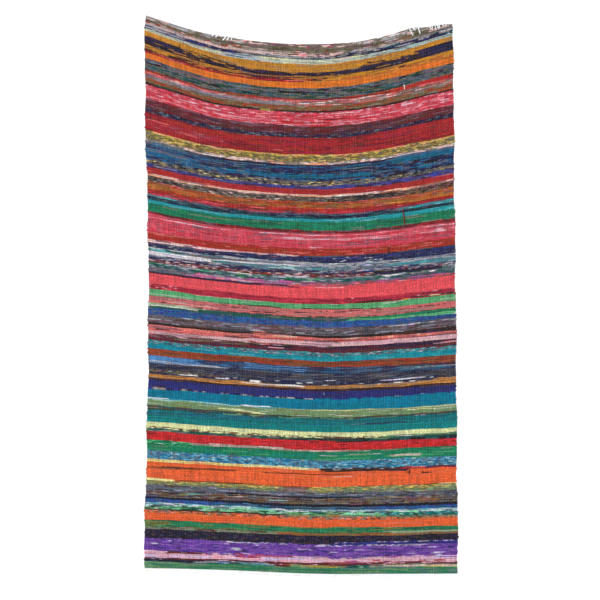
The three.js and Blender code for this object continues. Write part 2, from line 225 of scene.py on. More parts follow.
# stitches that keep one colour, then the share of each colour
MIXES = {
    "olive heather": (2, "olive 4, khaki 2, pebble 4, stone 1.4, mauve 1, rust 0.2"),
    "rose edge": (2, "mauve 3, olive 2, pebble 3, rose 0.4, stone 2, blush 0.8"),
    "rust fleck": (2, "rust 2, brick 2, stone 4, blush 2.6, olive 1"),
    "pale rose": (4, "blush 5, stone 3, fog 3, shell 1"),
    "rose and ink": (2, "blush 5, pink 2, mauve 1.6, bark 1, stone 3"),
    "navy plum": (3, "navy 2.4, plum 1.4, fog 3, slate 2, mauve 1"),
    "navy": (2, "navy 6, cobalt 1, ink 1.4, mauve 1, fog 0.6"),
    "dark teal": (3, "fog 4, stone 4, slate 1.6, pine teal 1.4"),
    "navy ink": (2, "navy 3, ink 3, pine teal 1.4, stone 1.4, fog 1"),
    "deep navy": (3, "midnight 4, plum 3, ink 4, bark 1"),
    "mint": (5, "pale mint 5, stone 1, butter 1.4, fog 2, blush 0.6"),
    "pale blue": (3, "steel 2, fog 3, pale aqua 2, slate 2"),
    "mustard": (6, "mustard 7, gold 1, stone 1, caramel 1"),
    "dark mustard": (2, "mustard 3, caramel 2, bark 3, khaki 2, ink 1"),
    "ink and plum": (2, "ink 4, plum 3, midnight 2, bark 3, caramel 1.2, pebble 0.4"),
    "tan mustard": (3, "caramel 4, mustard 4, toffee 2"),
    "wine and ink": (2, "wine 3, bark 3, caramel 1.4, cocoa 1, copper 2"),
    "wine red": (3, "wine 2.4, red 3, brick 3, cocoa 1, salmon 0.8"),
    "bright orange": (8, "tangerine 7, orange 1.6, caramel 1.6, gold 1"),
    "slate heather": (2, "slate 3, pebble 4, ash 3, forest 1.4, steel 2, ink 1, mauve 1.4"),
    "teal heather": (2, "pine teal 3, forest 3, slate 3, steel 2, ink 1.4, pebble 3, olive 1"),
    "rust red": (3, "rust 3, brick 3, cocoa 2, wine 2"),
    "bright red": (3, "red 4, brick 3, scarlet 1, wine 1"),
    "salmon pink": (3, "salmon 4, rust 1.6, blush 1.6, mauve 1.8, rose 0.6"),
    "lavender": (4, "lavender 4, ash 2, stone 3, mauve 1.6, blush 1"),
    "blush grey": (3, "stone 3, salmon 2, mauve 2, toffee 1, blush 1.4"),
    "rust olive": (2, "toffee 5, rust 3.4, olive 3, brick 1.4, stone 1"),
    "dark line": (2, "bark 5, black 3, maroon 2, forest 1"),
    "yellow green": (6, "ochre 6, moss 2"),
    "crimson fleck": (2, "rose 7, cherry 5, pink 3, scarlet 1.5, petal 0.8"),
    "maroon heather": (3, "maroon 4, mauve 2.4, wine 4, plum 0.6, cocoa 3"),
    "navy dots": (1, "midnight 4, ink 3, plum 3, maroon 3, steel 1.4, slate 1"),
    "deep red": (4, "red 5, wine 3.4, crimson 2, brick 2, cocoa 0.8"),
    "peach yellow": (2, "peach 3, straw 2, ochre 2, toffee 1, olive 1"),
    "olive yellow": (1, "ochre 3, moss 4, olive 4, caramel 1.4, straw 1.2, stone 1, khaki 1"),
    "white pink": (2, "blush 2.6, white 0.6, peach 1.4, stone 3.6, pebble 2.6"),
    "wine navy": (4, "maroon 1, midnight 5, ink 2, plum 2, slate 1"),
    "teal blue": (5, "ocean 4, lagoon 3, pine teal 3"),
    "blue heather": (3, "ocean 3, navy 4.6, slate 2, steel 1, pine teal 1"),
    "night heather": (2, "midnight 4, ink 2, slate 2.4, ocean 3, plum 1"),
    "sand and ink": (1, "stone 3, straw 0.8, ink 3, pebble 3, olive 1, slate 2, charcoal 1"),
    "violet blue": (2, "cobalt 2.6, violet 4, plum 3, slate 1.4, lavender 0.4"),
    "red": (5, "red 5, brick 3, crimson 1, salmon 1"),
    "peach line": (4, "shell 2.6, peach 2, blush 2, rust 1.4, mauve 1.6"),
    "stone and coal": (1, "charcoal 3, bark 2, pebble 3, stone 2, cocoa 2.4, blush 0.5"),
    "coal": (2, "black 4, charcoal 3, cocoa 2, pebble 1"),
    "rust orange": (2, "rust 3, toffee 3, copper 2.6, brick 0.8, salmon 1.2, caramel 1"),
    "peach rust": (3, "caramel 4, copper 3, rust 2, toffee 2, mauve 0.6"),
    "brick crimson": (3, "brick 5, wine 0.8, red 3, salmon 0.8"),
    "cherry": (3, "red 2.6, crimson 3, cherry 1.4, mauve 2, cocoa 1.2"),
    "teal line": (3, "slate 3, midnight 2, mauve 2, steel 2"),
    "navy grey": (2, "midnight 4, pine teal 4, ink 2.4, steel 1"),
    "turquoise": (4, "turquoise 5, teal 1, aqua 3"),
    "green": (5, "green 6.6, bottle 2, teal 0.4, stone 0.6"),
    "dark red": (2, "wine 5, cocoa 2, red 2, maroon 1, mauve 1"),
    "rose": (3, "rose 7, cherry 4, mauve 1.6"),
    "pale streak": (3, "pink 4, petal 2, rose 4"),
    "rose crimson": (6, "rose 4, cherry 5, crimson 1"),
    "light pink": (8, "pink 3, petal 3"),
    "brick red": (3, "brick 5, red 3, salmon 1.6, rust 1.4"),
    "blush white": (3, "petal 3, blush 4, stone 1, mauve 1"),
    "grey navy": (2, "slate 3, ash 2, navy 2, mauve 2, fog 1"),
    "navy fleck": (1, "midnight 7, navy 6, ink 1, slate 2, fog 0.8"),
    "frost": (2, "fog 4, steel 2, lavender 3, pale aqua 1, white 0.5"),
    "grey frost": (3, "ash 3, pebble 2, slate 2, fog 2"),
    "green heather": (2, "bottle 2, pine teal 3, steel 2.4, slate 2, fog 1.8, leaf 1"),
    "white lavender": (4, "frost 4, lilac 2, white 4"),
    "sky heather": (3, "steel 4, slate 2, fog 2, aqua 1"),
    "blue dashes": (2, "navy 3, plum 1.4, slate 3, steel 2, lavender 3, fog 1.8, mauve 1"),
    "navy white": (1, "navy 3, ink 2, plum 3, fog 1, mauve 2"),
    "red and white": (1, "wine 2.4, maroon 3, cocoa 2, mauve 2.4, brick 1.4, blush 2, stone 1, lavender 1"),
    "green white": (2, "green 1.2, steel 2, bottle 1, ash 2, fog 2.6, teal 0.6, lavender 1.4"),
    "ash": (2, "ash 4, slate 2, lavender 2, mauve 2, steel 1"),
    "magenta": (3, "magenta 5, lavender 2, pink 1"),
    "pink coral": (2, "salmon 4, magenta 2, mauve 1.4, ash 0.6, blush 0.5"),
    "coral": (9, "coral 9, rose 1"),
    "maroon fleck": (1, "crimson 7, maroon 1.6, cherry 2.4, pink 1.2"),
    "leaf": (5, "leaf 8, pale mint 1, green 1"),
    "dull green": (3, "forest 3, bark 2, khaki 2, leaf 1"),
    "salmon": (6, "salmon 7, blush 0.8, mauve 1, stone 1.2"),
    "salmon dashes": (1, "salmon 5, cocoa 4, maroon 2"),
    "pale green": (4, "sage 3, pale mint 5, stone 1"),
    "bottle": (4, "bottle 5, pine teal 2.4, ash 1, stone 0.8"),
    "royal": (1, "royal 5, cobalt 3, ocean 2.4, slate 1.4"),
    "grey heather": (3, "ash 5, charcoal 3.4, lavender 1.4, cocoa 1, mauve 1, fog 0.4"),
    "bark": (4, "bark 6, black 4, cocoa 1, plum 1"),
    "melon": (4, "melon 3.4, salmon 3, shell 0.8, mauve 1.2"),
    "brick melon": (3, "brick 1.4, salmon 4, cocoa 1, mauve 1.4"),
    "petal": (5, "petal 4, blush 3.4, pink 0.8, mauve 1.6"),
    "mauve brown": (3, "mauve 3, cocoa 4, olive 2, maroon 2"),
    "plum ink": (4, "plum 4, ink 3, maroon 3"),
    "maroon red": (3, "maroon 5, wine 3, cocoa 1, plum 2"),
    "teal fleck": (1, "turquoise 4, pine teal 2.4, steel 4, fog 1, mauve 1, aqua 1"),
    "turquoise blue": (5, "turquoise 6, lagoon 4, aqua 1"),
    "rust": (4, "rust 5, cocoa 2.6, brick 1, toffee 1.4"),
    "sky": (5, "sky 7, slate 1.4, royal 1"),
    "navy slate": (4, "midnight 3, slate 3, ocean 2, plum 2"),
    "sky lavender": (4, "fog 3, sky 3, lavender 3"),
    "charcoal navy": (3, "charcoal 5, midnight 3, slate 2, ash 1"),
    "charcoal white": (1, "charcoal 4, midnight 6, slate 1, frost 0.1"),
    "gold": (5, "gold 2.6, caramel 3.6, stone 2.2, toffee 1"),
    "dark brown": (4, "bark 5, cocoa 1, plum 2, ink 1.6"),
    "indigo": (4, "indigo 8, plum 1, navy 2"),
    "ink dashes": (1, "ink 3, stone 2.4, indigo 3, fog 1"),
    "lagoon": (7, "lagoon 9, teal 1"),
    "pale aqua": (3, "pale aqua 4, aqua 3, sage 2"),
    "sage": (4, "sage 8, moss 1, pale mint 1"),
    "pale sage": (5, "sage 4, pale mint 3, butter 3"),
    "grey brown": (3, "charcoal 2, pine teal 4, forest 1, sage 1.4, pebble 1, cocoa 1"),
    "pine heather": (6, "teal 6, lagoon 1, pine teal 3"),
    "emerald teal": (7, "teal 8, turquoise 2, green 1"),
    "butter": (9, "butter 9, pale mint 1"),
    "butter dashes": (1, "butter 5, toffee 2.4, pebble 1.4, cocoa 1"),
    "grey green": (2, "bottle 3, pine teal 2, ash 3, sage 2.4, stone 1"),
    "ink red": (3, "ink 4, black 3, maroon 1, pine teal 1"),
    "scarlet": (2, "scarlet 8, cherry 1, red 3, wine 0.6"),
    "blush cream": (4, "blush 3, stone 3, pale mint 1"),
    "green dots": (1, "green 4, leaf 2, pale aqua 0.4, bottle 1.4"),
    "blue white": (1, "azure 4, steel 3, ocean 2, lagoon 1.6, pale aqua 0.5"),
    "straw": (5, "straw 6, butter 1, peach 2"),
    "plum red": (3, "crimson 3, plum 2, melon 2"),
    "orange": (8, "orange 9, melon 1, gold 0.4"),
    "orange line": (4, "rust 5, bark 3, copper 2, toffee 1"),
    "straw olive": (1, "ochre 2.4, sage 3, moss 2, straw 2.2, pebble 0.6, stone 1"),
    "moss heather": (1, "moss 2, sage 4.6, olive 1, ash 1.4, ochre 1.4, stone 2.6"),
    "grey navy heather": (2, "slate 4, ash 4, charcoal 1.4, lavender 1, steel 1"),
    "black line": (4, "ink 5, black 3, midnight 2"),
    "mixed brown": (2, "cocoa 3, olive 3, ash 3, stone 2, slate 2, mauve 2, ink 1, toffee 2"),
    "black": (5, "ink 5, black 4, midnight 1"),
    "mint and black": (2, "mint 3, leaf 2, sage 3, bottle 2, pale aqua 1.4, forest 1"),
    "teal mottle": (1, "teal 5, bottle 4, aqua 2, steel 2, mint 0.3"),
    "dark dots": (2, "bark 3, forest 2, khaki 2, cocoa 2, stone 1"),
    "beige": (2, "stone 3, sage 3, cocoa 1.4, pebble 2"),
    "copper": (4, "caramel 4, toffee 3, sage 2, rust 1"),
    "black navy": (1, "ink 5, midnight 3, black 2, plum 2, charcoal 1.4, cocoa 0.4"),
    "indigo blue": (3, "indigo 5, cobalt 3, midnight 1"),
    "purple": (2, "purple 8, indigo 1, orchid 4.4, plum 0.5, lilac 0.2"),
    "crimson pink": (2, "crimson 3, magenta 4, rose 1, purple 1"),
    "petal maroon": (3, "petal 5, brick 2, wine 1.2, magenta 0.6"),
    "maroon": (2, "wine 4, cocoa 3, maroon 2, mauve 1.4, petal 0.8"),
    "ink white": (2, "ink 4, midnight 3, fog 0.6, slate 1"),
    "aqua grey": (3, "aqua 3, steel 3, fog 1"),
    "ochre brown": (3, "sage 3, ochre 2, toffee 2, wine 1, stone 1"),
    "pale and ink": (2, "fog 4, stone 5, blush 1.4, slate 1, ink 0.3"),
    "petal flecks": (1, "petal 1.2, cherry 4, rose 4"),
    "dusty red": (4, "crimson 4, salmon 1.2, red 2, mauve 1"),
    "white blush": (2, "white 2, blush 4, stone 3, pebble 1"),
    "orange tan": (4, "gold 3, copper 3, caramel 2"),
    "aqua line": (3, "aqua 2, steel 3, turquoise 1"),
    "bright turquoise": (8, "turquoise 9, aqua 1"),
    "pale steel": (2, "steel 2, fog 5, lilac 1, slate 1.4, sky 0.6"),
    "grey teal": (2, "steel 2, slate 3, pine teal 2, charcoal 2, ash 1"),
    "aqua steel": (4, "aqua 2, steel 4, pale aqua 1, teal 1"),
    "aqua turquoise": (5, "turquoise 3, steel 4, aqua 2, slate 0.6"),
    "pale dashes": (2, "fog 2, blush 2, slate 3, mauve 2, navy 1"),
    "plum ink line": (4, "plum 4, ink 4, midnight 2"),
    "white": (6, "white 6, frost 3"),
    "mauve grey": (2, "ash 3, mauve 3, magenta 2, steel 1"),
    "crimson": (4, "crimson 8, cherry 3, wine 1"),
    "petal brown": (2, "petal 1, mauve 3, cocoa 2, maroon 1, olive 1, salmon 0.6"),
    "sky streaks": (4, "sky 2, slate 3, ocean 3, navy 2"),
    "plum line": (4, "plum 3, maroon 2, slate 2"),
    "olive flecks": (1, "charcoal 4, olive 2, toffee 1.4, mauve 1, fog 0.6"),
    "indigo lagoon": (2, "indigo 3, navy 1, lagoon 3"),
    "butter flecks": (1, "toffee 3, butter 3, pebble 2, cocoa 2"),
    "ink green": (3, "ink 3, forest 3, pine teal 2, butter 0.3"),
    "brown flecks": (1, "cocoa 3, ink 3, bark 2, fog 1, stone 1"),
    "mauve patch": (3, "mauve 3, stone 2, toffee 1"),
    "blue teal dark": (4, "ocean 4, midnight 3, pine teal 2, steel 2, sky 0.6"),
    "pale mint line": (2, "pale aqua 3, mint 2, steel 2, leaf 1, frost 1"),
    "orange dashes": (1, "orange 4, melon 2.4, toffee 3, cocoa 1.4, stone 2, sage 0.8"),
    "brown gold": (3, "gold 3, sage 4, caramel 2, stone 2"),
    "lilac dashes": (1, "lilac 3, lavender 3, indigo 2, purple 2"),
    "pink magenta": (3, "magenta 2, petal 3, lilac 1.4, orchid 1.6"),
    "steel": (6, "steel 5, slate 2"),
    "stone": (3, "stone 5, blush 1"),
    "grass": (4, "green 5, moss 2.6, bottle 1.4, leaf 0.4"),
    "sea green": (5, "green 6, sage 2.6, steel 1.6"),
    "emerald": (5, "green 8, teal 2, leaf 1"),
    "teal blue dark": (2, "ocean 5, lagoon 1, slate 2, navy 2, steel 1"),
    "rust coal": (1, "cocoa 3, bark 1.6, toffee 1.6, pebble 1, mauve 1, stone 0.5"),
    "ice blue": (2, "pale aqua 4, steel 2, frost 2, azure 1.4, aqua 1"),
    "mauve coral": (2, "mauve 3, coral 3, ash 1.6, magenta 1"),
    "olive pale": (2, "stone 4, olive 3, mauve 1.6, blush 1.4, toffee 1"),
    "dark heather": (2, "forest 4, ink 3, slate 2, pine teal 1"),
    "olive mist": (2, "stone 4, fog 3, olive 1.6, blush 2.4, pebble 1, frost 0.3"),
    "pale sea": (3, "pale aqua 3, fog 2, stone 2, pale mint 2, steel 1"),
    "petal lilac": (4, "petal 6, lilac 1.4, pink 0.8"),
    "navy blue": (2, "navy 3, ocean 3, midnight 3, plum 1"),
    "grey blush": (2, "blush 3, stone 4, pebble 2, white 1"),
    "warm mustard": (2, "mustard 5, caramel 3, bark 2, khaki 1.4"),
    "copper gold": (3, "mustard 3, copper 3, gold 2"),
    "mauve ash": (2, "ash 3, magenta 2, lavender 3, slate 1"),
    "mauve magenta": (2, "mauve 3, magenta 2, ash 2"),
    "mauve wine": (3, "mauve 3, crimson 2, maroon 2"),
    "olive dots": (1, "sage 3, stone 3, olive 2, bark 1, pale mint 1"),
    "mauve petal": (2, "petal 3, purple 2, lavender 3, magenta 1"),
    "dark sea": (2, "pine teal 3, ink 1, fog 1.4, leaf 1"),
    "straw cream": (4, "stone 4, blush 2, butter 2, pale mint 1"),
    "lilac spot": (4, "lilac 5, frost 2, orchid 1"),
    "dusty teal": (4, "ocean 3, steel 4, slate 2, mauve 1"),
    "sage mint": (2, "sage 4, pale mint 2, stone 2, leaf 1.4, bottle 1"),
    "pine line": (4, "bottle 5, pine teal 3, sage 1"),
    "teal mist": (2, "steel 3, bottle 1, pine teal 2, fog 1, aqua 1, stone 1"),
    "cotton": (3, "cotton 8, white 1"),
}
print(len(RAGS), "rag colours in", len(MIXES), "mixes")

# %% [markdown]
# ## The weaving plan
#
# The plan lists the stripes from the top edge down. The weft lines aren't quite level, so a stripe's
# lower edge is given at the left selvedge, in the middle and at the right selvedge, as a distance
# down the cloth. A strip that ran out was laid over the end of the next one, and from that place
# across the rug the stripe goes on in another mix.

# %% Stripes
# lower edge at the left, in the middle, at the right; mix; then (place across, mix from there on)
STRIPES = [
    (13, 9, 10, "olive mist", (-0.17, "rose edge"), (0.14, "olive mist"), (0.45, "dark heather")),
    (18, 18, 18, "olive heather", (0.43, "pale rose")),
    (22, 24, 20, "rust fleck", (-0.12, "olive pale"), (0.42, "navy ink")),
    (27, 33, 23, "pale rose", (-0.03, "rose and ink"), (0.15, "pale and ink")),
    (38, 41, 37, "navy plum", (-0.37, "navy"), (-0.2, "dark teal"), (0.1, "navy ink")),
    (44, 55, 44, "mint", (-0.25, "pale blue"), (-0.13, "mint"), (0.2, "pale sea")),
    (58, 66, 56, "mustard"),
    (69, 78, 67, "deep navy", (-0.385, "dark mustard"), (-0.22, "mustard"), (0.2, "warm mustard"),
     (0.39, "deep navy")),
    (81, 89, 82, "ink and plum", (0.39, "deep navy")),
    (93, 95, 92, "tan mustard"),
    (98, 101, 97, "wine and ink", (0.08, "copper gold")),
    (105, 106, 100, "wine red", (0.02, "orange tan")),
    (119, 123, 116, "bright orange"),
    (134, 137, 131, "slate heather"),
    (150, 153, 145, "teal heather"),
    (156, 158, 156, "rust red", (0.3, "bright red")),
    (163, 163, 162, "salmon pink"),
    (172, 174, 171, "lavender", (-0.03, "blush grey")),
    (185, 188, 186, "rust olive"),
    (191, 193, 190, "dark line", (-0.14, "yellow green"), (-0.1, "dark line")),
    (195, 198, 195, "petal flecks"),
    (226, 231, 230, "crimson fleck"),
    (252, 254, 252, "maroon heather"),
    (264, 265, 263, "navy dots"),
    (280, 282, 281, "deep red"),
    (300, 300, 300, "dusty red", (-0.24, "deep red")),
    (311, 312, 311, "deep red"),
    (316, 317, 316, "peach yellow"),
    (332, 332, 332, "olive yellow"),
    (340, 340, 339, "grey blush", (-0.35, "white blush"), (-0.16, "white pink"), (0.1, "grey blush")),
    (346, 346, 345, "dusty teal", (-0.36, "wine navy"), (0.3, "dusty teal")),
    (356, 360, 358, "blue heather", (-0.1, "navy blue"), (0.12, "blue heather"), (0.3, "teal blue")),
    (368, 369, 374, "dusty teal", (-0.37, "night heather")),
    (380, 379, 386, "teal blue dark", (-0.15, "teal blue"), (0.24, "night heather"),
     (0.37, "teal blue dark")),
    (386, 386, 391, "night heather"),
    (398, 399, 401, "sand and ink"),
    (408, 409, 414, "violet blue"),
    (424, 424, 429, "red"),
    (430, 431, 436, "peach line"),
    (446, 445, 451, "stone and coal", (0.1, "coal"), (0.31, "rust coal")),
    (453, 452, 457, "rust orange"),
    (461, 460, 465, "peach rust"),
    (467, 465, 472, "rust orange", (0.3, "orange tan")),
    (474, 473, 478, "brick crimson", (-0.1, "bright red"), (0.02, "brick crimson"),
     (0.14, "bright red"), (0.18, "brick crimson")),
    (481, 480, 481, "cherry"),
    (486, 484, 490, "aqua line", (-0.42, "teal line"), (0.33, "aqua line")),
    (496, 494, 497, "navy grey"),
    (504, 503, 510, "turquoise", (-0.22, "bright turquoise"), (-0.05, "turquoise")),
    (526, 527, 532, "green"),
    (533, 535, 541, "dark red"),
    (540, 538, 545, "rose"),
    (544, 541, 549, "pale streak"),
    (551, 548, 555, "rose"),
    (557, 554, 564, "rose", (-0.12, "pale streak")),
    (574, 572, 579, "rose"),
    (580, 578, 585, "rose crimson", (0.02, "light pink"), (0.065, "rose crimson")),
    (599, 598, 604, "brick red"),
    (607, 602, 607, "blush white", (0, "plum line")),
    (612, 608, 613, "grey navy", (-0.3, "navy")),
    (619, 618, 626, "navy fleck"),
    (623, 622, 629, "frost"),
    (631, 626, 631, "teal mist", (-0.34, "grey frost"), (0.0, "pale steel")),
    (635, 630, 635, "white lavender", (-0.03, "pale steel")),
    (640, 638, 644, "white lavender", (-0.28, "aqua steel"), (0.1, "sky heather"), (0.29, "aqua turquoise")),
    (649, 644, 651, "blue dashes"),
    (653, 650, 655, "navy white", (-0.05, "pale dashes"), (0.19, "royal"), (0.22, "mixed brown"),
     (0.3, "navy white")),
    (660, 659, 662, "red and white", (0.25, "plum ink line"), (0.45, "green white")),
    (665, 664, 667, "green white"),
    (672, 672, 675, "green heather", (0.3, "grey teal")),
    (677, 676, 679, "ash", (-0.36, "mauve ash"), (-0.03, "mauve magenta"), (0.12, "mauve grey")),
    (686, 683, 685, "ash", (-0.36, "magenta"), (-0.03, "pink coral"), (0.13, "mauve coral")),
    (691, 690, 689, "plum ink", (-0.14, "mauve wine"), (-0.03, "coral")),
    (719, 719, 720, "coral"),
    (734, 735, 736, "maroon fleck", (-0.4, "crimson"), (0.11, "maroon fleck"), (0.17, "crimson"),
     (0.36, "maroon fleck")),
    (749, 747, 752, "leaf"),
    (752, 750, 754, "leaf", (-0.24, "dull green"), (0.25, "leaf")),
    (769, 769, 772, "salmon"),
    (771, 772, 775, "salmon", (-0.33, "salmon dashes")),
    (780, 777, 782, "pale green", (-0.33, "bottle"), (0.15, "green")),
    (786, 782, 790, "bottle", (0.15, "leaf")),
    (804, 800, 801, "royal"),
    (825, 823, 824, "grey heather"),
    (831, 829, 835, "bark"),
    (840, 835, 841, "melon"),
    (848, 841, 845, "brick melon"),
    (855, 852, 857, "petal"),
    (860, 857, 863, "petal brown", (0.09, "plum ink"), (0.44, "maroon red")),
    (866, 862, 867, "mauve brown", (-0.18, "plum ink"), (0.44, "petal")),
    (873, 871, 875, "maroon red"),
    (883, 881, 884, "teal fleck"),
    (896, 895, 899, "turquoise blue"),
    (914, 912, 919, "rust"),
    (921, 919, 924, "sky", (-0.34, "navy slate"), (-0.18, "sky streaks"), (0.02, "navy slate"),
     (0.31, "plum line")),
    (928, 927, 930, "sky", (-0.34, "sky streaks"), (0.02, "navy slate"), (0.16, "sky streaks"),
     (0.24, "navy slate"), (0.31, "sky heather")),
    (935, 931, 934, "sky lavender", (-0.25, "navy slate")),
    (953, 955, 952, "charcoal navy"),
    (959, 960, 958, "olive flecks", (-0.24, "charcoal white")),
    (965, 965, 963, "charcoal white", (0.42, "gold")),
    (976, 974, 974, "gold"),
    (981, 981, 981, "dark brown"),
    (1000, 1001, 1000, "indigo"),
    (1007, 1004, 1003, "ink dashes", (0.05, "indigo lagoon")),
    (1031, 1032, 1034, "lagoon"),
    (1037, 1036, 1038, "pale aqua", (0, "pale sage")),
    (1051, 1053, 1053, "sage"),
    (1064, 1060, 1058, "grey brown"),
    (1080, 1078, 1078, "pine heather"),
    (1097, 1096, 1098, "emerald teal"),
    (1109, 1108, 1110, "butter"),
    (1115, 1114, 1114, "butter dashes", (-0.02, "butter flecks"), (0.25, "sage mint")),
    (1123, 1121, 1119, "grey green", (-0.05, "ink green"), (0.24, "pine line")),
    (1124, 1123, 1127, "scarlet", (0.11, "ink red")),
    (1145, 1147, 1148, "scarlet"),
    (1153, 1151, 1150, "green dots", (-0.36, "blush cream"), (0.2, "green")),
    (1159, 1157, 1158, "green dots", (-0.35, "green")),
    (1174, 1175, 1175, "emerald"),
    (1197, 1197, 1200, "blue white"),
    (1206, 1204, 1205, "straw", (0.07, "brown flecks"), (0.33, "plum red")),
    (1209, 1208, 1210, "orange", (0.07, "dark brown"), (0.33, "orange")),
    (1217, 1213, 1216, "orange"),
    (1223, 1217, 1221, "orange line", (-0.2, "orange"), (-0.11, "orange line"), (0.15, "orange")),
    (1250, 1251, 1246, "orange"),
    (1256, 1253, 1248, "straw", (-0.41, "orange line"), (0.02, "straw olive"),
     (0.2, "orange line"), (0.45, "straw")),
    (1261, 1261, 1258, "straw olive", (-0.07, "mauve patch"), (0.02, "straw olive")),
    (1268, 1267, 1267, "moss heather", (-0.07, "mauve patch"), (0.02, "moss heather")),
    (1282, 1278, 1279, "grey navy heather"),
    (1285, 1283, 1281, "grey navy heather", (-0.25, "black line"), (0.2, "mixed brown")),
    (1301, 1301, 1299, "mixed brown"),
    (1306, 1307, 1307, "black"),
    (1316, 1316, 1316, "royal", (-0.25, "blue teal dark"), (0.2, "royal")),
    (1321, 1320, 1320, "ice blue"),
    (1325, 1323, 1324, "pale mint line"),
    (1334, 1331, 1335, "mint and black", (0.26, "teal mottle")),
    (1338, 1335, 1339, "dark dots", (-0.06, "brown gold"), (0.16, "olive dots")),
    (1344, 1343, 1343, "orange dashes"),
    (1365, 1365, 1366, "orange"),
    (1378, 1377, 1375, "grass"),
    (1383, 1382, 1380, "grass", (0.28, "pale green")),
    (1389, 1389, 1387, "beige", (-0.07, "copper")),
    (1406, 1407, 1403, "black navy"),
    (1414, 1413, 1413, "black navy", (0.1, "indigo blue")),
    (1418, 1419, 1418, "purple", (-0.24, "lilac dashes"), (-0.05, "purple"),
     (0.03, "lilac dashes"), (0.38, "purple")),
    (1448, 1449, 1445, "purple"),
    (1454, 1454, 1450, "petal lilac", (-0.42, "maroon"), (-0.3, "mauve petal"),
     (-0.21, "crimson pink"), (-0.04, "mauve petal"), (0.27, "pink magenta")),
    (1458, 1458, 1455, "petal lilac", (-0.2, "crimson pink"), (-0.13, "petal lilac")),
    (1462, 1462, 1459, "petal lilac", (0.15, "petal maroon"), (0.45, "petal lilac")),
    (1466, 1466, 1463, "petal lilac", (0.06, "petal maroon")),
    (1471, 1472, 1468, "maroon"),
    (1478, 1479, 1475, "ink white", (-0.2, "aqua grey"), (-0.09, "maroon"),
     (-0.05, "ochre brown"), (0.16, "dark sea"), (0.24, "straw cream")),
    (1496, 1496, 1496, "sea green"),
]  # fmt: skip
splices = [splice for stripe in STRIPES for splice in stripe[4:]]
missing = ({stripe[3] for stripe in STRIPES} | {mix for _, mix in splices}) - set(MIXES)
print(len(STRIPES), "stripes with", len(splices), "splices; mixes that are missing:", sorted(missing))

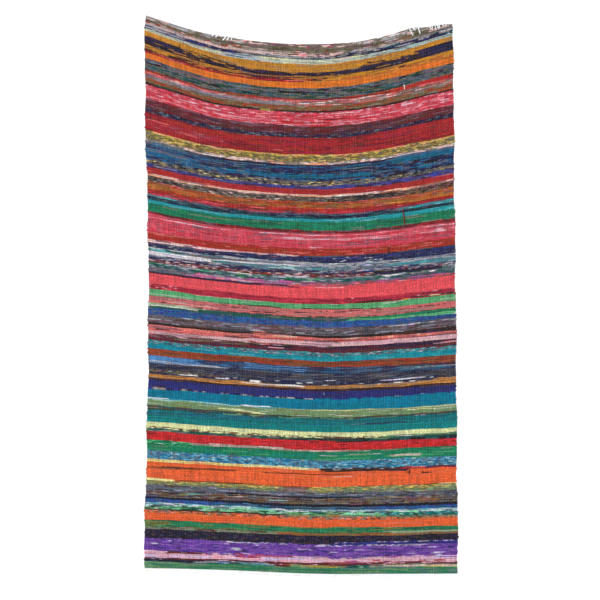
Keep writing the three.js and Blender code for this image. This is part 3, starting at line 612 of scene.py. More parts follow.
# %% Fill-ins
# run, from and to across, mix: a short length laid into one shot
FILL_INS = [
    (4, -0.17, -0.1, "white blush"), (9, -0.14, -0.08, "white blush"), (14, 0.28, 0.32, "pale rose"),
    (17, -0.46, -0.38, "rust fleck"), (17, -0.22, -0.16, "rust fleck"), (39, -0.12, 0.1, "navy ink"),
    (28, -0.03, 0.0, "bark"), (28, 0.36, 0.5, "navy ink"), (23, 0.44, 0.5, "navy ink"),
    (33, -0.37, -0.2, "navy"), (67, -0.3, -0.22, "ink and plum"), (64, -0.37, -0.31, "ink and plum"),
    (70, 0.2, 0.36, "ink and plum"), (92, 0.32, 0.35, "bark"), (93, -0.42, -0.35, "bark"),
    (91, -0.2, -0.02, "mauve brown"), (96, -0.2, 0.02, "plum ink"), (128, -0.24, 0.0, "dark heather"),
    (133, -0.07, 0.0, "dark heather"), (130, -0.4, -0.3, "mauve grey"),
    (140, -0.32, -0.2, "dark heather"), (148, 0.34, 0.5, "bright red"), (152, 0.32, 0.5, "bright red"),
    (158, -0.26, -0.18, "white blush"), (162, 0.06, 0.12, "white blush"), (168, 0.0, 0.03, "white"),
    (196, 0.1, 0.18, "petal"), (207, 0.3, 0.42, "pale streak"), (212, 0.2, 0.4, "pale streak"),
    (209, -0.14, -0.04, "pale streak"), (217, -0.3, -0.1, "pale streak"),
    (221, -0.48, -0.36, "pale streak"), (203, -0.05, 0.06, "bright red"), (222, -0.05, 0.1, "bright red"),
    (214, 0.06, 0.16, "bright red"), (301, -0.08, -0.02, "dusty red"), (290, -0.12, -0.04, "dusty red"),
    (301, 0.14, 0.2, "dusty red"), (428, 0.08, 0.26, "white blush"), (348, 0.12, 0.28, "teal blue"),
    (353, 0.16, 0.3, "navy"), (366, 0.12, 0.24, "wine navy"), (358, 0.12, 0.3, "night heather"),
    (376, 0.05, 0.22, "teal blue"), (392, -0.34, -0.2, "butter flecks"),
    (391, 0.03, 0.12, "butter flecks"), (477, -0.48, -0.4, "rose crimson"),
    (601, -0.3, -0.08, "blush white"), (617, -0.28, 0.05, "frost"), (627, -0.28, 0.0, "white"),
    (632, -0.5, -0.3, "white"), (623, -0.2, -0.05, "ash"), (636, -0.18, 0.1, "aqua steel"),
    (641, -0.18, -0.06, "blue teal dark"), (645, -0.04, 0.2, "pale dashes"),
    (650, 0.0, 0.25, "plum ink line"), (660, -0.24, -0.16, "white"), (658, -0.05, 0.02, "white"),
    (663, 0.26, 0.32, "white"), (665, 0.36, 0.43, "white"), (667, 0.36, 0.42, "bottle"),
    (666, -0.05, 0.02, "green"), (667, 0.17, 0.21, "green"), (680, -0.24, -0.14, "light pink"),
    (680, 0.17, 0.19, "light pink"), (681, 0.31, 0.34, "light pink"), (687, 0.04, 0.14, "light pink"),
    (735, 0.32, 0.345, "bright orange"), (733, 0.35, 0.5, "ink green"), (732, 0.18, 0.3, "bark"),
    (755, -0.34, -0.24, "salmon dashes"), (758, -0.24, -0.18, "salmon dashes"),
    (764, -0.18, -0.08, "salmon dashes"), (761, -0.1, 0.02, "salmon dashes"),
    (757, 0.06, 0.16, "salmon dashes"), (755, 0.14, 0.26, "salmon dashes"),
    (762, 0.3, 0.38, "salmon dashes"), (759, 0.37, 0.47, "salmon dashes"),
    (766, -0.48, -0.44, "salmon dashes"), (822, -0.15, -0.12, "melon"), (825, -0.16, -0.04, "melon"),
    (828, -0.15, -0.03, "melon"), (850, -0.18, -0.15, "crimson"), (864, -0.11, -0.06, "light pink"),
    (803, 0.28, 0.5, "pale steel"), (916, -0.18, 0.02, "sky"), (922, -0.18, 0.02, "sky"),
    (919, -0.12, 0.02, "navy slate"), (917, 0.16, 0.26, "sky streaks"), (949, 0.08, 0.11, "pale steel"),
    (956, 0.25, 0.4, "white lavender"), (961, -0.4, -0.34, "white"), (961, -0.28, -0.24, "white"),
    (962, -0.17, -0.14, "white"), (965, -0.17, -0.14, "white"), (968, -0.2, 0.01, "white"),
    (965, -0.08, 0.0, "white"), (959, -0.02, 0.0, "white"), (958, 0.02, 0.03, "white"),
    (962, 0.07, 0.085, "white"), (961, 0.185, 0.2, "white"), (963, 0.24, 0.25, "white"),
    (963, 0.3, 0.32, "white"), (963, 0.35, 0.365, "white"), (1001, 0.3, 0.32, "pale steel"),
    (1000, 0.38, 0.4, "pale steel"), (1032, -0.2, -0.1, "white lavender"),
    (1031, -0.5, -0.43, "white lavender"), (1040, 0.34, 0.43, "butter"), (1046, -0.27, -0.2, "butter"),
    (1049, -0.22, -0.14, "butter"), (1051, -0.16, -0.12, "butter"), (1057, 0.36, 0.4, "pale steel"),
    (1070, -0.5, -0.2, "blue teal dark"), (1075, 0.16, 0.34, "blue teal dark"),
    (1066, -0.35, -0.1, "blue teal dark"), (1148, -0.35, -0.06, "blush cream"),
    (1145, -0.3, -0.06, "blush cream"), (1160, 0.15, 0.25, "pale green"),
    (1163, 0.28, 0.38, "blush cream"), (1166, 0.29, 0.38, "pale green"), (1163, 0.06, 0.12, "pale green"),
    (1170, -0.23, -0.21, "beige"), (1163, -0.48, -0.43, "beige"), (1213, 0.34, 0.35, "orange line"),
    (1217, 0.34, 0.35, "orange line"), (1216, 0.385, 0.41, "orange line"), (1222, 0.05, 0.18, "melon"),
    (1277, 0.08, 0.19, "steel"), (1289, -0.25, -0.17, "stone"), (1291, -0.4, -0.33, "copper"),
    (1290, 0.36, 0.44, "copper"), (1294, -0.1, -0.04, "aqua steel"), (1287, -0.37, -0.3, "aqua steel"),
    (1408, 0.11, 0.18, "lilac dashes"), (1408, 0.24, 0.34, "lilac dashes"),
    (1405, 0.37, 0.48, "lilac dashes"), (1417, -0.24, -0.19, "white lavender"),
    (1417, 0.05, 0.08, "white lavender"), (1421, 0.405, 0.43, "lilac spot"),
    (1423, 0.41, 0.428, "lilac spot"), (1427, -0.475, -0.455, "lilac spot"),
    (1429, -0.47, -0.455, "lilac spot"), (1428, -0.01, 0.01, "lilac spot"),
    (1433, -0.215, -0.195, "lilac spot"), (1436, -0.215, -0.19, "lilac spot"),
    (1439, -0.21, -0.195, "lilac spot"), (1435, 0.09, 0.115, "lilac spot"),
    (1438, 0.34, 0.36, "lilac spot"), (1437, 0.425, 0.445, "lilac spot"),
    (1440, 0.42, 0.445, "lilac spot"), (1443, 0.43, 0.445, "lilac spot"),
    (1475, -0.34, -0.2, "pale steel"), (1476, 0.4, 0.46, "straw"),
]  # fmt: skip
print(len(FILL_INS), "fill-ins; mixes that are missing:", sorted({f[3] for f in FILL_INS} - set(MIXES)))

# %% [markdown]
# ## Passes of weft
#
# Each stripe is cut into passes (weavers say shots) of about 2.7 mm, as many as fit. The warps are
# thin cotton strings 7.5 mm apart, so a shot shows along its whole length, as a soft line that is
# pinched wherever a string crosses over it. No two passes are alike: the strip is folded thicker in
# one place than in another, so the creases between shots wander a little, each on its own.

# %% Lay the shots
WARPS = 118
SHOT_PITCH, THINNEST_SHOT = 2.7, 0.2
CREASE_WANDER, EDGE_WANDER = 0.5, 0.8
WANDER_STEP = 7  # warps between two turns of a wandering crease
WARP_STRAY = 0.2  # of a pitch: the strings aren't quite evenly spaced
SELVEDGE = 0.498  # about a quarter of a pitch outside the last strings
BEATING_FADE = 25  # mm from the top and bottom edges
# size in mm, turn per width, mm down per turn, start: how unevenly the weft was beaten down
BEATING_WAVES = [
    (0.5, 14, 47, 0.3),
    (0.4, -23, 31, 1.9),
    (0.35, 41, 63, 4.1),
    (0.3, -67, 38, 2.6),
    (0.25, 96, 21, 5.2),
]

warps = (np.arange(WARPS) + 0.5 + random.uniform(-WARP_STRAY, WARP_STRAY, WARPS)) / WARPS - 0.5
columns = np.concatenate([[-SELVEDGE], warps, [SELVEDGE]])


def weft_line(left, centre, right, across):
    """The run of a stripe's edge: the middle's value, bent to the selvedge's on each side. The share
    of the bend is t*t*(2-t), with t the distance from the middle, so it starts level."""
    t = np.abs(2 * across)
    side = np.where(across < 0, left, right)
    return centre + t * t * (2 - t) * (side - centre)


def beating(across, run):
    """Long waves of a fraction of a millimetre, which fade out at the top and bottom edges."""
    waves = 0.0
    for size, per_width, per_length, start in BEATING_WAVES:
        waves = waves + size * np.sin(per_width * across + run / per_length + start)
    below_top, above_bottom = run / BEATING_FADE, (CLOTH_LENGTH - run) / BEATING_FADE
    return waves * np.clip(below_top, 0, 1) * np.clip(above_bottom, 0, 1)


def soft_noise(rows, length, step, reach):
    """Rows of numbers between -reach and reach: drawn anew every `step` places from a random start,
    and joined by cosine curves."""
    knots = random.uniform(-reach, reach, (rows, length // step + 3))
    at = np.arange(length) / step + random.random((rows, 1))
    left = at.astype(int)
    share = 0.5 - 0.5 * np.cos(np.pi * (at - left))
    row = np.arange(rows)[:, None]
    return knots[row, left] * (1 - share) + knots[row, left + 1] * share


edges = np.array([top_edge(columns)] + [weft_line(*stripe[:3], columns) for stripe in STRIPES])
edges[1:-1] += soft_noise(len(edges) - 2, len(columns), 2 * WANDER_STEP, EDGE_WANDER)
edges = np.maximum.accumulate(edges, axis=0)
creases, shot_stripes = [edges[0]], []
for number, (upper, lower) in enumerate(zip(edges, edges[1:])):
    shots = max(1, round(float(np.mean(lower - upper)) / SHOT_PITCH))
    creases += [upper + (lower - upper) * (shot + 1) / shots for shot in range(shots)]
    shot_stripes += [number] * shots
creases = np.array(creases)
creases += beating(columns, creases)
SHOTS = len(shot_stripes)
creases[1:-1] += soft_noise(SHOTS - 1, len(columns), WANDER_STEP, CREASE_WANDER)
# each crease is held at least a hair below the one above it, so that no shot turns inside out
least = THINNEST_SHOT * np.arange(SHOTS + 1)[:, None]
creases = np.maximum.accumulate(creases - least, axis=0) + least
pitches = np.diff(creases, axis=0)
print(SHOTS, "shots; pitch from", pitches.min().round(2), "to", pitches.max().round(2), "mm")

# %% Colour every shot along its length
SHADE_STEP, SHADE_ALONG, SHADE_BY_SHOT = 4, 0.1, 0.05  # warps to a turn, along a shot, of a whole shot
RIB_STEP, RIB_SHADE = 16, 0.09  # shots to a turn, and down a rib
UNEVEN_SOLID, UNEVEN_HEATHER = 0.1, 0.26  # a stitch's shade in a solid, and what patches of one add
PALE_EVEN = 0.8  # how far a white mix is evened out
CALM_FROM, CALM, CALMEST = 2, 0.12, 0.6  # how patches of more stitches draw rags to the average
SPLICE_RAGGED = 0.02  # of the width, to each side


def linear(colours):
    """Colours as they are named, 0 to 255, turned to the linear light that materials reckon in: up to
    0.04045 a share is divided by 12.92, above that it is (share + 0.055) / 1.055 to the power 2.4."""
    share = np.asarray(colours, float) / 255
    return np.where(share <= 0.04045, share / 12.92, ((share + 0.055) / 1.055) ** 2.4)


def rags_along(mix):
    """One shot of a mix: at every column a new patch starts with a chance of one in `patch`, and each
    patch draws its rag by the shares. The longer the patches, the closer the rags are to the mix's
    average and the more even their stitches. Returns a linear colour for each column."""
    patch, shares = MIXES[mix]
    rags, weights = zip(*[share.rsplit(" ", 1) for share in shares.split(", ")])
    weights = np.array([float(weight) for weight in weights])
    palette = linear([RAGS[rag] for rag in rags])
    average = weights @ palette / weights.sum()
    palette += (average - palette) * np.clip((patch - CALM_FROM) * CALM, 0, CALMEST)
    limits = np.cumsum(weights)
    patches = np.cumsum(random.random(len(columns)) < 1 / patch)
    picks = np.searchsorted(limits, random.random(len(columns) + 1) * limits[-1])
    uneven = (UNEVEN_SOLID + UNEVEN_HEATHER / patch) * (1 - PALE_EVEN * average.mean())
    return palette[picks[patches]] * random.uniform(1 - uneven, 1 + uneven, (len(columns), 1))


def shot_colours(stripe):
    """A shot across its splices: each mix holds from its place to the right selvedge, and the next
    one is laid over it."""
    colours = rags_along(stripe[3])
    for start, mix in stripe[4:]:
        ragged = start + random.uniform(-SPLICE_RAGGED, SPLICE_RAGGED)
        colours = np.where((columns > ragged)[:, None], rags_along(mix), colours)
    return colours


rag_colours = np.array([shot_colours(STRIPES[number]) for number in shot_stripes])
for run, start, end, mix in FILL_INS:
    shot = np.searchsorted(creases[:, np.searchsorted(columns, (start + end) / 2)], run) - 1
    inside = (columns > start) & (columns < end)
    rag_colours[shot, inside] = rags_along(mix)[inside]
shades = 1 + soft_noise(SHOTS, len(columns), SHADE_STEP, SHADE_ALONG)
shades += soft_noise(len(columns), SHOTS, RIB_STEP, RIB_SHADE).T
shades += random.uniform(-SHADE_BY_SHOT, SHADE_BY_SHOT, (SHOTS, 1))
rag_colours = np.clip(rag_colours * shades[..., None], 0, 1)
print("colours:", rag_colours.shape)

# %% [markdown]
# ## The woven surface
#
# Sixty-five thousand crossings can't be as many objects. The cloth is one grid instead, with a
# column of points on every warp and two rows of points to every shot: one along its crest and one
# along the crease below it. Where a shot passes over a string its crest stands forward, and where
# the string passes over it, the crest is pinched; the back is the same with the crossings swapped.
# Narrow rims close the edges.
#
# Each corner of a face also keeps its rag's colour and two flat addresses: `weave` counts warps
# across and shots down, `cloth` is the place on the flat rug in metres.

# %% Heights of the crossings
# mm in front of the middle of the thickness, and the same behind it
PANEL_RELIEF = {"crest": 2.55, "pinched": 1.45, "crease": 1.05, "rim": 0.55}
PLUMPNESS = (0.85, 1.15)
LOOP_OUT, LOOP_IN, STRAY_LOOP = 0.9, -0.8, 2.6  # mm off the selvedge, and the most that one strays
LOOP_ROWS = 4  # two crests and two creases to one turn of the strip
STRAY_POWER = 5  # the higher it is, the fewer loops stray


def relief(shots, crest, pinched, crease, rim):
    """How far each point stands off the middle of the cloth, front and back. Even rows are creases and
    odd rows crests; a crest is pinched on every other warp, on the others by turns."""
    heights = np.full((2, 2 * shots + 1, len(columns)), float(crease))
    shot, column = np.indices((shots, len(columns)))
    for side in (0, 1):
        over = (shot + column) % 2 == side
        heights[side, 1::2] = np.where(over, crest, pinched) * random.uniform(*PLUMPNESS, over.shape)
    heights[:, [0, -1]] = rim
    heights[:, :, [0, -1]] = rim
    return heights


def selvedge_loops(shots):
    """Each strip turns round the last warp and comes back as the next shot, on the left and on the
    right by turns: the two crests and the crease between them stand out, the next crease is in. Each
    loop also strays outwards by a random share, raised to a power so that few go far."""
    row = np.arange(2 * shots + 1)
    steps = [np.where((row + shift) % LOOP_ROWS == 0, LOOP_IN, LOOP_OUT) for shift in (0, 2)]
    shares = random.random((2, shots // 2 + 1)) ** STRAY_POWER
    stray = STRAY_LOOP * np.repeat(shares, LOOP_ROWS, axis=1)
    return np.stack(steps) + stray[:, : len(row)]


def weave_points(creases, heights, loops):
    """Front and back points in metres: the rows are the creases with the crests half-way between, and
    each is moved off the hanging shape by its height. The outermost columns follow the loops, as a
    share of the rug's width at the top."""
    runs = np.empty((2 * len(creases) - 1, len(columns)))
    runs[::2] = creases
    runs[1::2] = (creases[1:] + creases[:-1]) / 2
    across = np.broadcast_to(columns, runs.shape).copy()
    width = 2 * abs(middle(-0.5, 0.0)[0])
    across[:, 0] -= loops[0] / width
    across[:, -1] += loops[1] / width
    return runs, np.stack([place(across, runs, heights[0]), place(across, runs, -heights[1])])


panel_runs, panel_points = weave_points(creases, relief(SHOTS, **PANEL_RELIEF), selvedge_loops(SHOTS))
print("points, front and back:", panel_points.shape[:3])


# %% Faces of the weave
def woven_faces(first, last, side):
    """The faces between the point rows first to last, on the front (side 0) or the back (side 1).
    A face lies between rows r and r+1 and columns c and c+1, on shot r//2. Its four corners start at
    the plump crossing and go round, so that its diagonal runs down from there. Returns each corner's
    row and column."""
    r, c = np.meshgrid(np.arange(first, last), np.arange(len(columns) - 1), indexing="ij")
    crest_row, crease_row = np.where(r % 2 == 1, (r, r + 1), (r + 1, r))
    over_left = (r // 2 + c) % 2 == side
    over, pinched = np.where(over_left, (c, c + 1), (c + 1, c))
    rows = np.stack([crest_row, crease_row, crease_row, crest_row], -1)
    across = np.stack([over, over, pinched, pinched], -1)
    turned = ((r % 2 == 1) != over_left) != (side == 1)
    order = np.where(turned[..., None], [0, 3, 2, 1], [0, 1, 2, 3])
    rows, across = np.take_along_axis(rows, order, -1), np.take_along_axis(across, order, -1)
    return rows.reshape(-1, 4), across.reshape(-1, 4)


def rim_faces(first, last):
    """The strip that joins front to back round the stretch: clockwise along its edge, each step makes
    a face from the front's two points to the back's. Returns rows and columns for its corners."""
    end = len(columns) - 1
    down, along = np.arange(first, last), np.arange(end)
    rows = np.concatenate([0 * along + first, down, 0 * along + last, down[::-1] + 1])
    across = np.concatenate([along, 0 * down + end, along[::-1] + 1, 0 * down])
    next_rows, next_across = np.roll(rows, -1), np.roll(across, -1)
    corner_rows = np.stack([rows, next_rows, next_rows, rows], -1)
    return corner_rows, np.stack([across, next_across, next_across, across], -1)


# %% A mesh from arrays
def new_mesh(name, points, faces):
    """A mesh object from arrays: points in metres and four-cornered faces, shaded smooth."""
    mesh = bpy.data.meshes.new(name)
    mesh.vertices.add(len(points))
    mesh.vertices.foreach_set("co", points.astype(np.float32).ravel())
    mesh.loops.add(faces.size)
    mesh.loops.foreach_set("vertex_index", faces.astype(np.int32).ravel())
    mesh.polygons.add(len(faces))
    mesh.polygons.foreach_set("loop_start", np.arange(0, faces.size, 4, dtype=np.int32))
    mesh.update(calc_edges=True)
    mesh.shade_smooth()
    piece = bpy.data.objects.new(name, mesh)
    bpy.context.collection.objects.link(piece)
    return piece


def set_corner_maps(mesh, maps, colours):
    """Writes UV maps and the rag colour, a value for every corner of every face."""
    for name, values in maps.items():
        mesh.uv_layers.new(name=name).uv.foreach_set("vector", values.astype(np.float32).ravel())
    layer = mesh.color_attributes.new("rag_colour", "FLOAT_COLOR", "CORNER")
    opaque = np.concatenate([colours, np.ones(colours.shape[:2] + (1,))], -1)
    layer.data.foreach_set("color", opaque.astype(np.float32).ravel())


def sharpen_creases(mesh, rows, front_and_back):
    """An edge between two shots is sharp: both its ends lie on the same crease row. So is the rim's."""
    crease = (rows == np.roll(rows, -1, axis=1)) & (rows % 2 == 0)
    crease[front_and_back:] = True
    edge = np.empty(len(mesh.loops), np.int32)
    mesh.loops.foreach_get("edge_index", edge)
    sharp = np.zeros(len(mesh.edges), bool)
    sharp[edge[crease.ravel()]] = True
    mesh.edges.foreach_set("use_edge_sharp", sharp)


# %% A closed stretch of cloth
CLOTH_WIDTH = 0.9
# the map for baking: its margin, the height of each half, the margin of the rim's line
BAKE_EDGE, BAKE_HALF, BAKE_RIM = 0.01, 0.475, 0.4925


def stretch_of_cloth(name, points, runs, colours, first, last):
    """A closed mesh of the point rows first to last: front, back and rim. Its map for baking has the
    front in the lower half, the back in the upper half and the rim along the line between them."""
    used = points[:, first : last + 1]
    index = np.arange(used[..., 0].size).reshape(used.shape[:3])
    sides = [woven_faces(first, last, 0), woven_faces(first, last, 1), rim_faces(first, last)]
    rows, across = [np.concatenate(part) for part in zip(*sides)]
    count = len(sides[0][0])
    side = np.zeros(rows.shape, int)
    side[count : 2 * count] = 1
    side[2 * count :] = [0, 0, 1, 1]
    piece = new_mesh(name, used.reshape(-1, 3), index[side, rows - first, across])

    shot = np.clip(rows.min(-1, keepdims=True) // 2, 0, len(colours) - 1)
    bake = np.empty(rows.shape + (2,))
    bake[..., 0] = BAKE_EDGE + (1 - 2 * BAKE_EDGE) * across / (len(columns) - 1)
    bake[..., 1] = BAKE_EDGE + BAKE_HALF * (last - rows) / (last - first)
    bake[..., 1] += side * (1 - 2 * BAKE_EDGE - BAKE_HALF)
    around = np.arange(len(rows) - 2 * count)[:, None] + [0, 1, 1, 0]
    bake[2 * count :, :, 0] = BAKE_EDGE + (1 - 2 * BAKE_EDGE) * around / (len(around) + 1)
    bake[2 * count :, :, 1] = BAKE_RIM + (1 - 2 * BAKE_RIM) * side[2 * count :]
    maps = {
        "OFBake": bake,
        "weave": np.stack([across, rows / 2], -1),
        "cloth": np.stack([columns[across] * CLOTH_WIDTH, -runs[rows, across] * MM], -1),
    }
    set_corner_maps(piece.data, maps, colours[shot, across])
    sharpen_creases(piece.data, rows, 2 * count)
    return piece


# %% Cut the cloth into four bands
BANDS = 4
cuts = np.linspace(0, SHOTS, BANDS + 1).round().astype(int) * 2
panels = []
for number, (first, last) in enumerate(zip(cuts, cuts[1:]), 1):
    panel = stretch_of_cloth(f"woven_panel_{number}", panel_points, panel_runs, rag_colours, first, last)
    panels.append(panel)
    print(panel.name, len(panel.data.polygons) * 2, "triangles")

# %% [markdown]
# ## Heading, warp ends and loose threads
#
# Below the last rags a heading of bare cotton holds them in. It is woven by the same functions, only
# flatter and all white. At the top the warp strings were cut: most of them are worn away, but on the
# right and on the left some still stand on a row of knots, and a few fall forward over the face.
#
# A string is a cord of two strands. Its section has two lobes, and turns as it goes along.

# %% The cotton heading
HEADING_SHOTS = 4
HEADING_RELIEF = {"crest": 1.7, "pinched": 1.2, "crease": 0.8, "rim": 0.5}

steps = np.linspace(0, 1, HEADING_SHOTS + 1)[:, None]
heading_creases = CLOTH_LENGTH + PIECE_GAP + HEADING_HEIGHT * steps + 0 * columns
heading_creases[1:-1] += soft_noise(HEADING_SHOTS - 1, len(columns), WANDER_STEP, CREASE_WANDER)
heading_heights = relief(HEADING_SHOTS, **HEADING_RELIEF)
heading_runs, heading_points = weave_points(heading_creases, heading_heights, selvedge_loops(HEADING_SHOTS))
heading_colours = np.array([rags_along("cotton") for _ in range(HEADING_SHOTS)])
last_row = 2 * HEADING_SHOTS
heading = stretch_of_cloth("cotton_heading", heading_points, heading_runs, heading_colours, 0, last_row)
print(heading.name, len(heading.data.polygons) * 2, "triangles")

# %% Twisted cords
RING = 8
RING_STEP, FEWEST_RINGS = 0.45, 8  # mm between rings
VALLEY, LOBE = 0.7, 0.3  # of the radius: what a valley keeps, what a lobe adds
END_ROUNDING = 0.9
CORD_SHADES = (0.85, 1.0)
RIGHTWARD = np.array([1.0, 0.0, 0.0])


def thread(*stops):
    """A smooth path through stops of (across, run, out), in metres, with a point at every ring."""
    stops = np.array(stops, float)
    points = place(stops[:, 0], stops[:, 1], stops[:, 2])
    length = np.linalg.norm(np.diff(points, axis=0), axis=1).sum()
    rings = max(FEWEST_RINGS, round(length / MM / RING_STEP))
    at = np.linspace(0, len(points) - 1, rings)
    return curve(np.arange(len(points)), points, at[:, None])


def cord_rings(path, thickness, twist):
    """Rings of points round a path. Each ring is two lobes: its radius is half the thickness times
    0.7 + 0.3 |cos|, turned once in every `twist` mm. Both ends are rounded off: there the radius is
    also multiplied by the root of 1 less 0.9 times the square of the share that is missing."""
    along = np.gradient(path, axis=0)
    gone = np.concatenate([[0], np.cumsum(np.linalg.norm(np.diff(path, axis=0), axis=1))]) / MM
    along /= np.linalg.norm(along, axis=1, keepdims=True)
    side = RIGHTWARD - along * (along @ RIGHTWARD)[:, None]
    side /= np.linalg.norm(side, axis=1, keepdims=True)
    front = np.cross(along, side)
    angle = np.arange(RING) * 2 * np.pi / RING
    lobes = VALLEY + LOBE * np.abs(np.cos(angle - 2 * np.pi * gone[:, None] / twist))
    inside = np.clip(np.minimum(gone, gone[-1] - gone) / (thickness / 2), 0, 1)
    radius = thickness / 2 * np.sqrt(1 - (1 - inside) ** 2 * END_ROUNDING)[:, None] * lobes
    around = np.cos(angle)[:, None] * side[:, None] + np.sin(angle)[:, None] * front[:, None]
    return path[:, None] + radius[..., None] * around * MM


def cord_faces(rings):
    """Four-cornered faces between the rings, and three faces on each end."""
    ring, spoke = np.meshgrid(np.arange(rings - 1), np.arange(RING), indexing="ij")
    here, beside = ring * RING + spoke, ring * RING + (spoke + 1) % RING
    walls = np.stack([here, beside, beside + RING, here + RING], -1).reshape(-1, 4)
    cap = np.array([[0, 1, 2, 3], [0, 3, 4, 7], [4, 5, 6, 7]])
    return np.concatenate([walls, cap[:, ::-1], cap + (rings - 1) * RING])


def cords(name, strands):
    """One object of many cords. A strand is (path, thickness, twist, rag)."""
    points, faces, colours, count = [], [], [], 0
    for path, thickness, twist, rag in strands:
        rings = cord_rings(path, thickness, twist)
        walls = cord_faces(len(rings))
        faces.append(walls + count)
        points.append(rings.reshape(-1, 3))
        shade = random.uniform(*CORD_SHADES)
        colours.append(np.broadcast_to(linear(RAGS[rag]) * shade, walls.shape + (3,)))
        count += len(points[-1])
    piece = new_mesh(name, np.concatenate(points), np.concatenate(faces))
    set_corner_maps(piece.data, {}, np.concatenate(colours))
    print(name, len(strands), "cords,", len(piece.data.polygons) * 2, "triangles")
    return piece


# %% Cut warp ends
ROOT_DEPTH, FALL_CLEARANCE, END_THICKNESS = 1.2, 2.2, 1.6
STRING, STRING_TWIST = 2.1, 7.0
BUNDLE, BUNDLE_TWIST = 3.5, 11.0
KNOTS, KNOTS_TWIST, KNOTS_STOPS = 2.9, 9.0, 25
# strip from and to; standing ends: first, last, how many, rises, leans; falling ends: across, rise,
# fall, lean
RIGHT_ENDS = (
    (0.352, 0.498),
    (0.406, 0.494, 13, (5, 8, 4, 7, 9, 5, 6), (2, -3, 1, 4, -2)),
    [
        (0.356, 3, 22, 15), (0.367, 4, 9, 13), (0.387, 3, 20, 8), (0.428, 3, 7, 3), (0.437, 4, 10, -2),
        (0.444, 3, 12, 3), (0.452, 4, 8, 2), (0.46, 3, 9, -3), (0.468, 4, 6, 2), (0.48, 3, 5, -2),
    ],  # fmt: skip
)
LEFT_ENDS = (
    (-0.298, -0.202),
    (-0.292, -0.208, 8, (3, 5, 4), (-2, 1, 3, -1)),
    [(-0.274, 2, 5, -9), (-0.262, 2, 6, -9), (-0.233, 2, 12, -14), (-0.224, 3, 9, -10), (-0.216, 3, 7, -5)],
)


# %% Paths of the warp ends
def aside(across, distance):
    """The place across that lies so many millimetres to the right, at the top edge."""
    return across + distance / (SECTIONS[0][2] - SECTIONS[0][1])


def knot_row(start, end):
    """A cord laid along the top edge: its turns are the knots in which the strings were tied off."""
    across = np.linspace(start, end, KNOTS_STOPS)
    middle_run = top_edge(across) - PIECE_GAP - STRIP_HEIGHT / 2
    return thread(*zip(across, middle_run, 0 * across))


def standing_end(across, rise, lean):
    """A short end that stands up from the knots and leans to one side."""
    foot = top_edge(across) - PIECE_GAP - STRIP_HEIGHT
    return thread(
        (across, foot + ROOT_DEPTH, 0),
        (aside(across, lean * 0.3), foot - rise * 0.5, 0.3),
        (aside(across, lean), foot - rise, 1),
    )


def falling_end(across, rise, fall, lean):
    """A longer end that stands up, turns over forward and hangs down in front of the cloth."""
    edge = top_edge(across)
    foot = edge - PIECE_GAP - STRIP_HEIGHT
    hang = (CLOTH_THICKNESS + END_THICKNESS) / 2 + FALL_CLEARANCE
    return thread(
        (across, foot + ROOT_DEPTH, 0),
        (across, foot - rise * 0.8, hang * 0.2),
        (aside(across, lean * 0.1), foot - rise, hang * 0.7),
        (aside(across, lean * 0.25), foot, hang + 0.6),
        (aside(across, lean * 0.6), edge + fall * 0.45, hang + 0.2),
        (aside(across, lean), edge + fall, hang),
    )


# %% The two groups of warp ends
def warp_ends(name, row, standing, falling):
    """The knots and all the ends of one group."""
    first, last, count, rises, leans = standing
    strands = [(knot_row(*row), KNOTS, KNOTS_TWIST, "cotton")]
    for k, across in enumerate(np.linspace(first, last, count)):
        path = standing_end(across, rises[k % len(rises)], leans[k % len(leans)])
        strands.append((path, STRING, STRING_TWIST, "cotton"))
    strands += [(falling_end(*end), BUNDLE, BUNDLE_TWIST, "cotton") for end in falling]
    return cords(name, strands)


right_ends = warp_ends("cut_ends_right", *RIGHT_ENDS)
left_ends = warp_ends("cut_ends_left", *LEFT_ENDS)

# %% Loose threads and knots on the face
LOOSE_OUT, TUCKED_OUT = 3.0, 2.0  # in front of the cloth's middle: a thread, and its tucked-in ends
LOOSE_TWIST = 5.0
# rag, thickness, then a stop (across, run) for each turn
LOOSE_THREADS = [
    ("ink", 2.6, (0.448, 12), (0.455, 13)),
    ("bark", 2.6, (0.462, 10), (0.468, 12)),
    ("ink", 2.8, (0.475, 11), (0.481, 13)),
    ("ink", 3.0, (0.487, 14), (0.494, 16)),
    ("bark", 2.4, (-0.386, 55), (-0.389, 61), (-0.392, 68)),
    ("cocoa", 2.2, (-0.325, 84), (-0.327, 92)),
    ("bark", 3.0, (0.324, 93), (0.341, 94)),
    ("white", 3.0, (0.338, 144), (0.341, 151), (0.340, 158)),
    ("ink", 3.6, (0.374, 377), (0.376, 384), (0.375, 392)),
    ("wine", 4.0, (0.331, 489), (0.334, 505), (0.336, 530)),
    ("bark", 3.4, (0.282, 584), (0.284, 592), (0.283, 603)),
    ("fog", 2.6, (0.030, 666), (0.032, 673)),
    ("bark", 2.6, (-0.030, 683), (-0.028, 691)),
    ("forest", 3.0, (-0.240, 743), (-0.241, 753)),
    ("fog", 1.8, (0.070, 984), (0.071, 991)),
    ("wine", 3.4, (0.346, 1208), (0.347, 1221)),
    ("wine", 3.0, (0.388, 1211), (0.390, 1218)),
    ("wine", 2.4, (-0.112, 1213), (-0.113, 1220)),
    ("bark", 2.4, (-0.160, 1293), (-0.159, 1304)),
]


def lying(stops):
    """A short thread that lies on the face, with both its ends tucked in."""
    outs = [TUCKED_OUT] + [LOOSE_OUT] * (len(stops) - 2) + [TUCKED_OUT]
    return thread(*[(across, run, out) for (across, run), out in zip(stops, outs)])


strands = [(lying(stops), thickness, LOOSE_TWIST, rag) for rag, thickness, *stops in LOOSE_THREADS]
loose_threads = cords("loose_threads", strands)

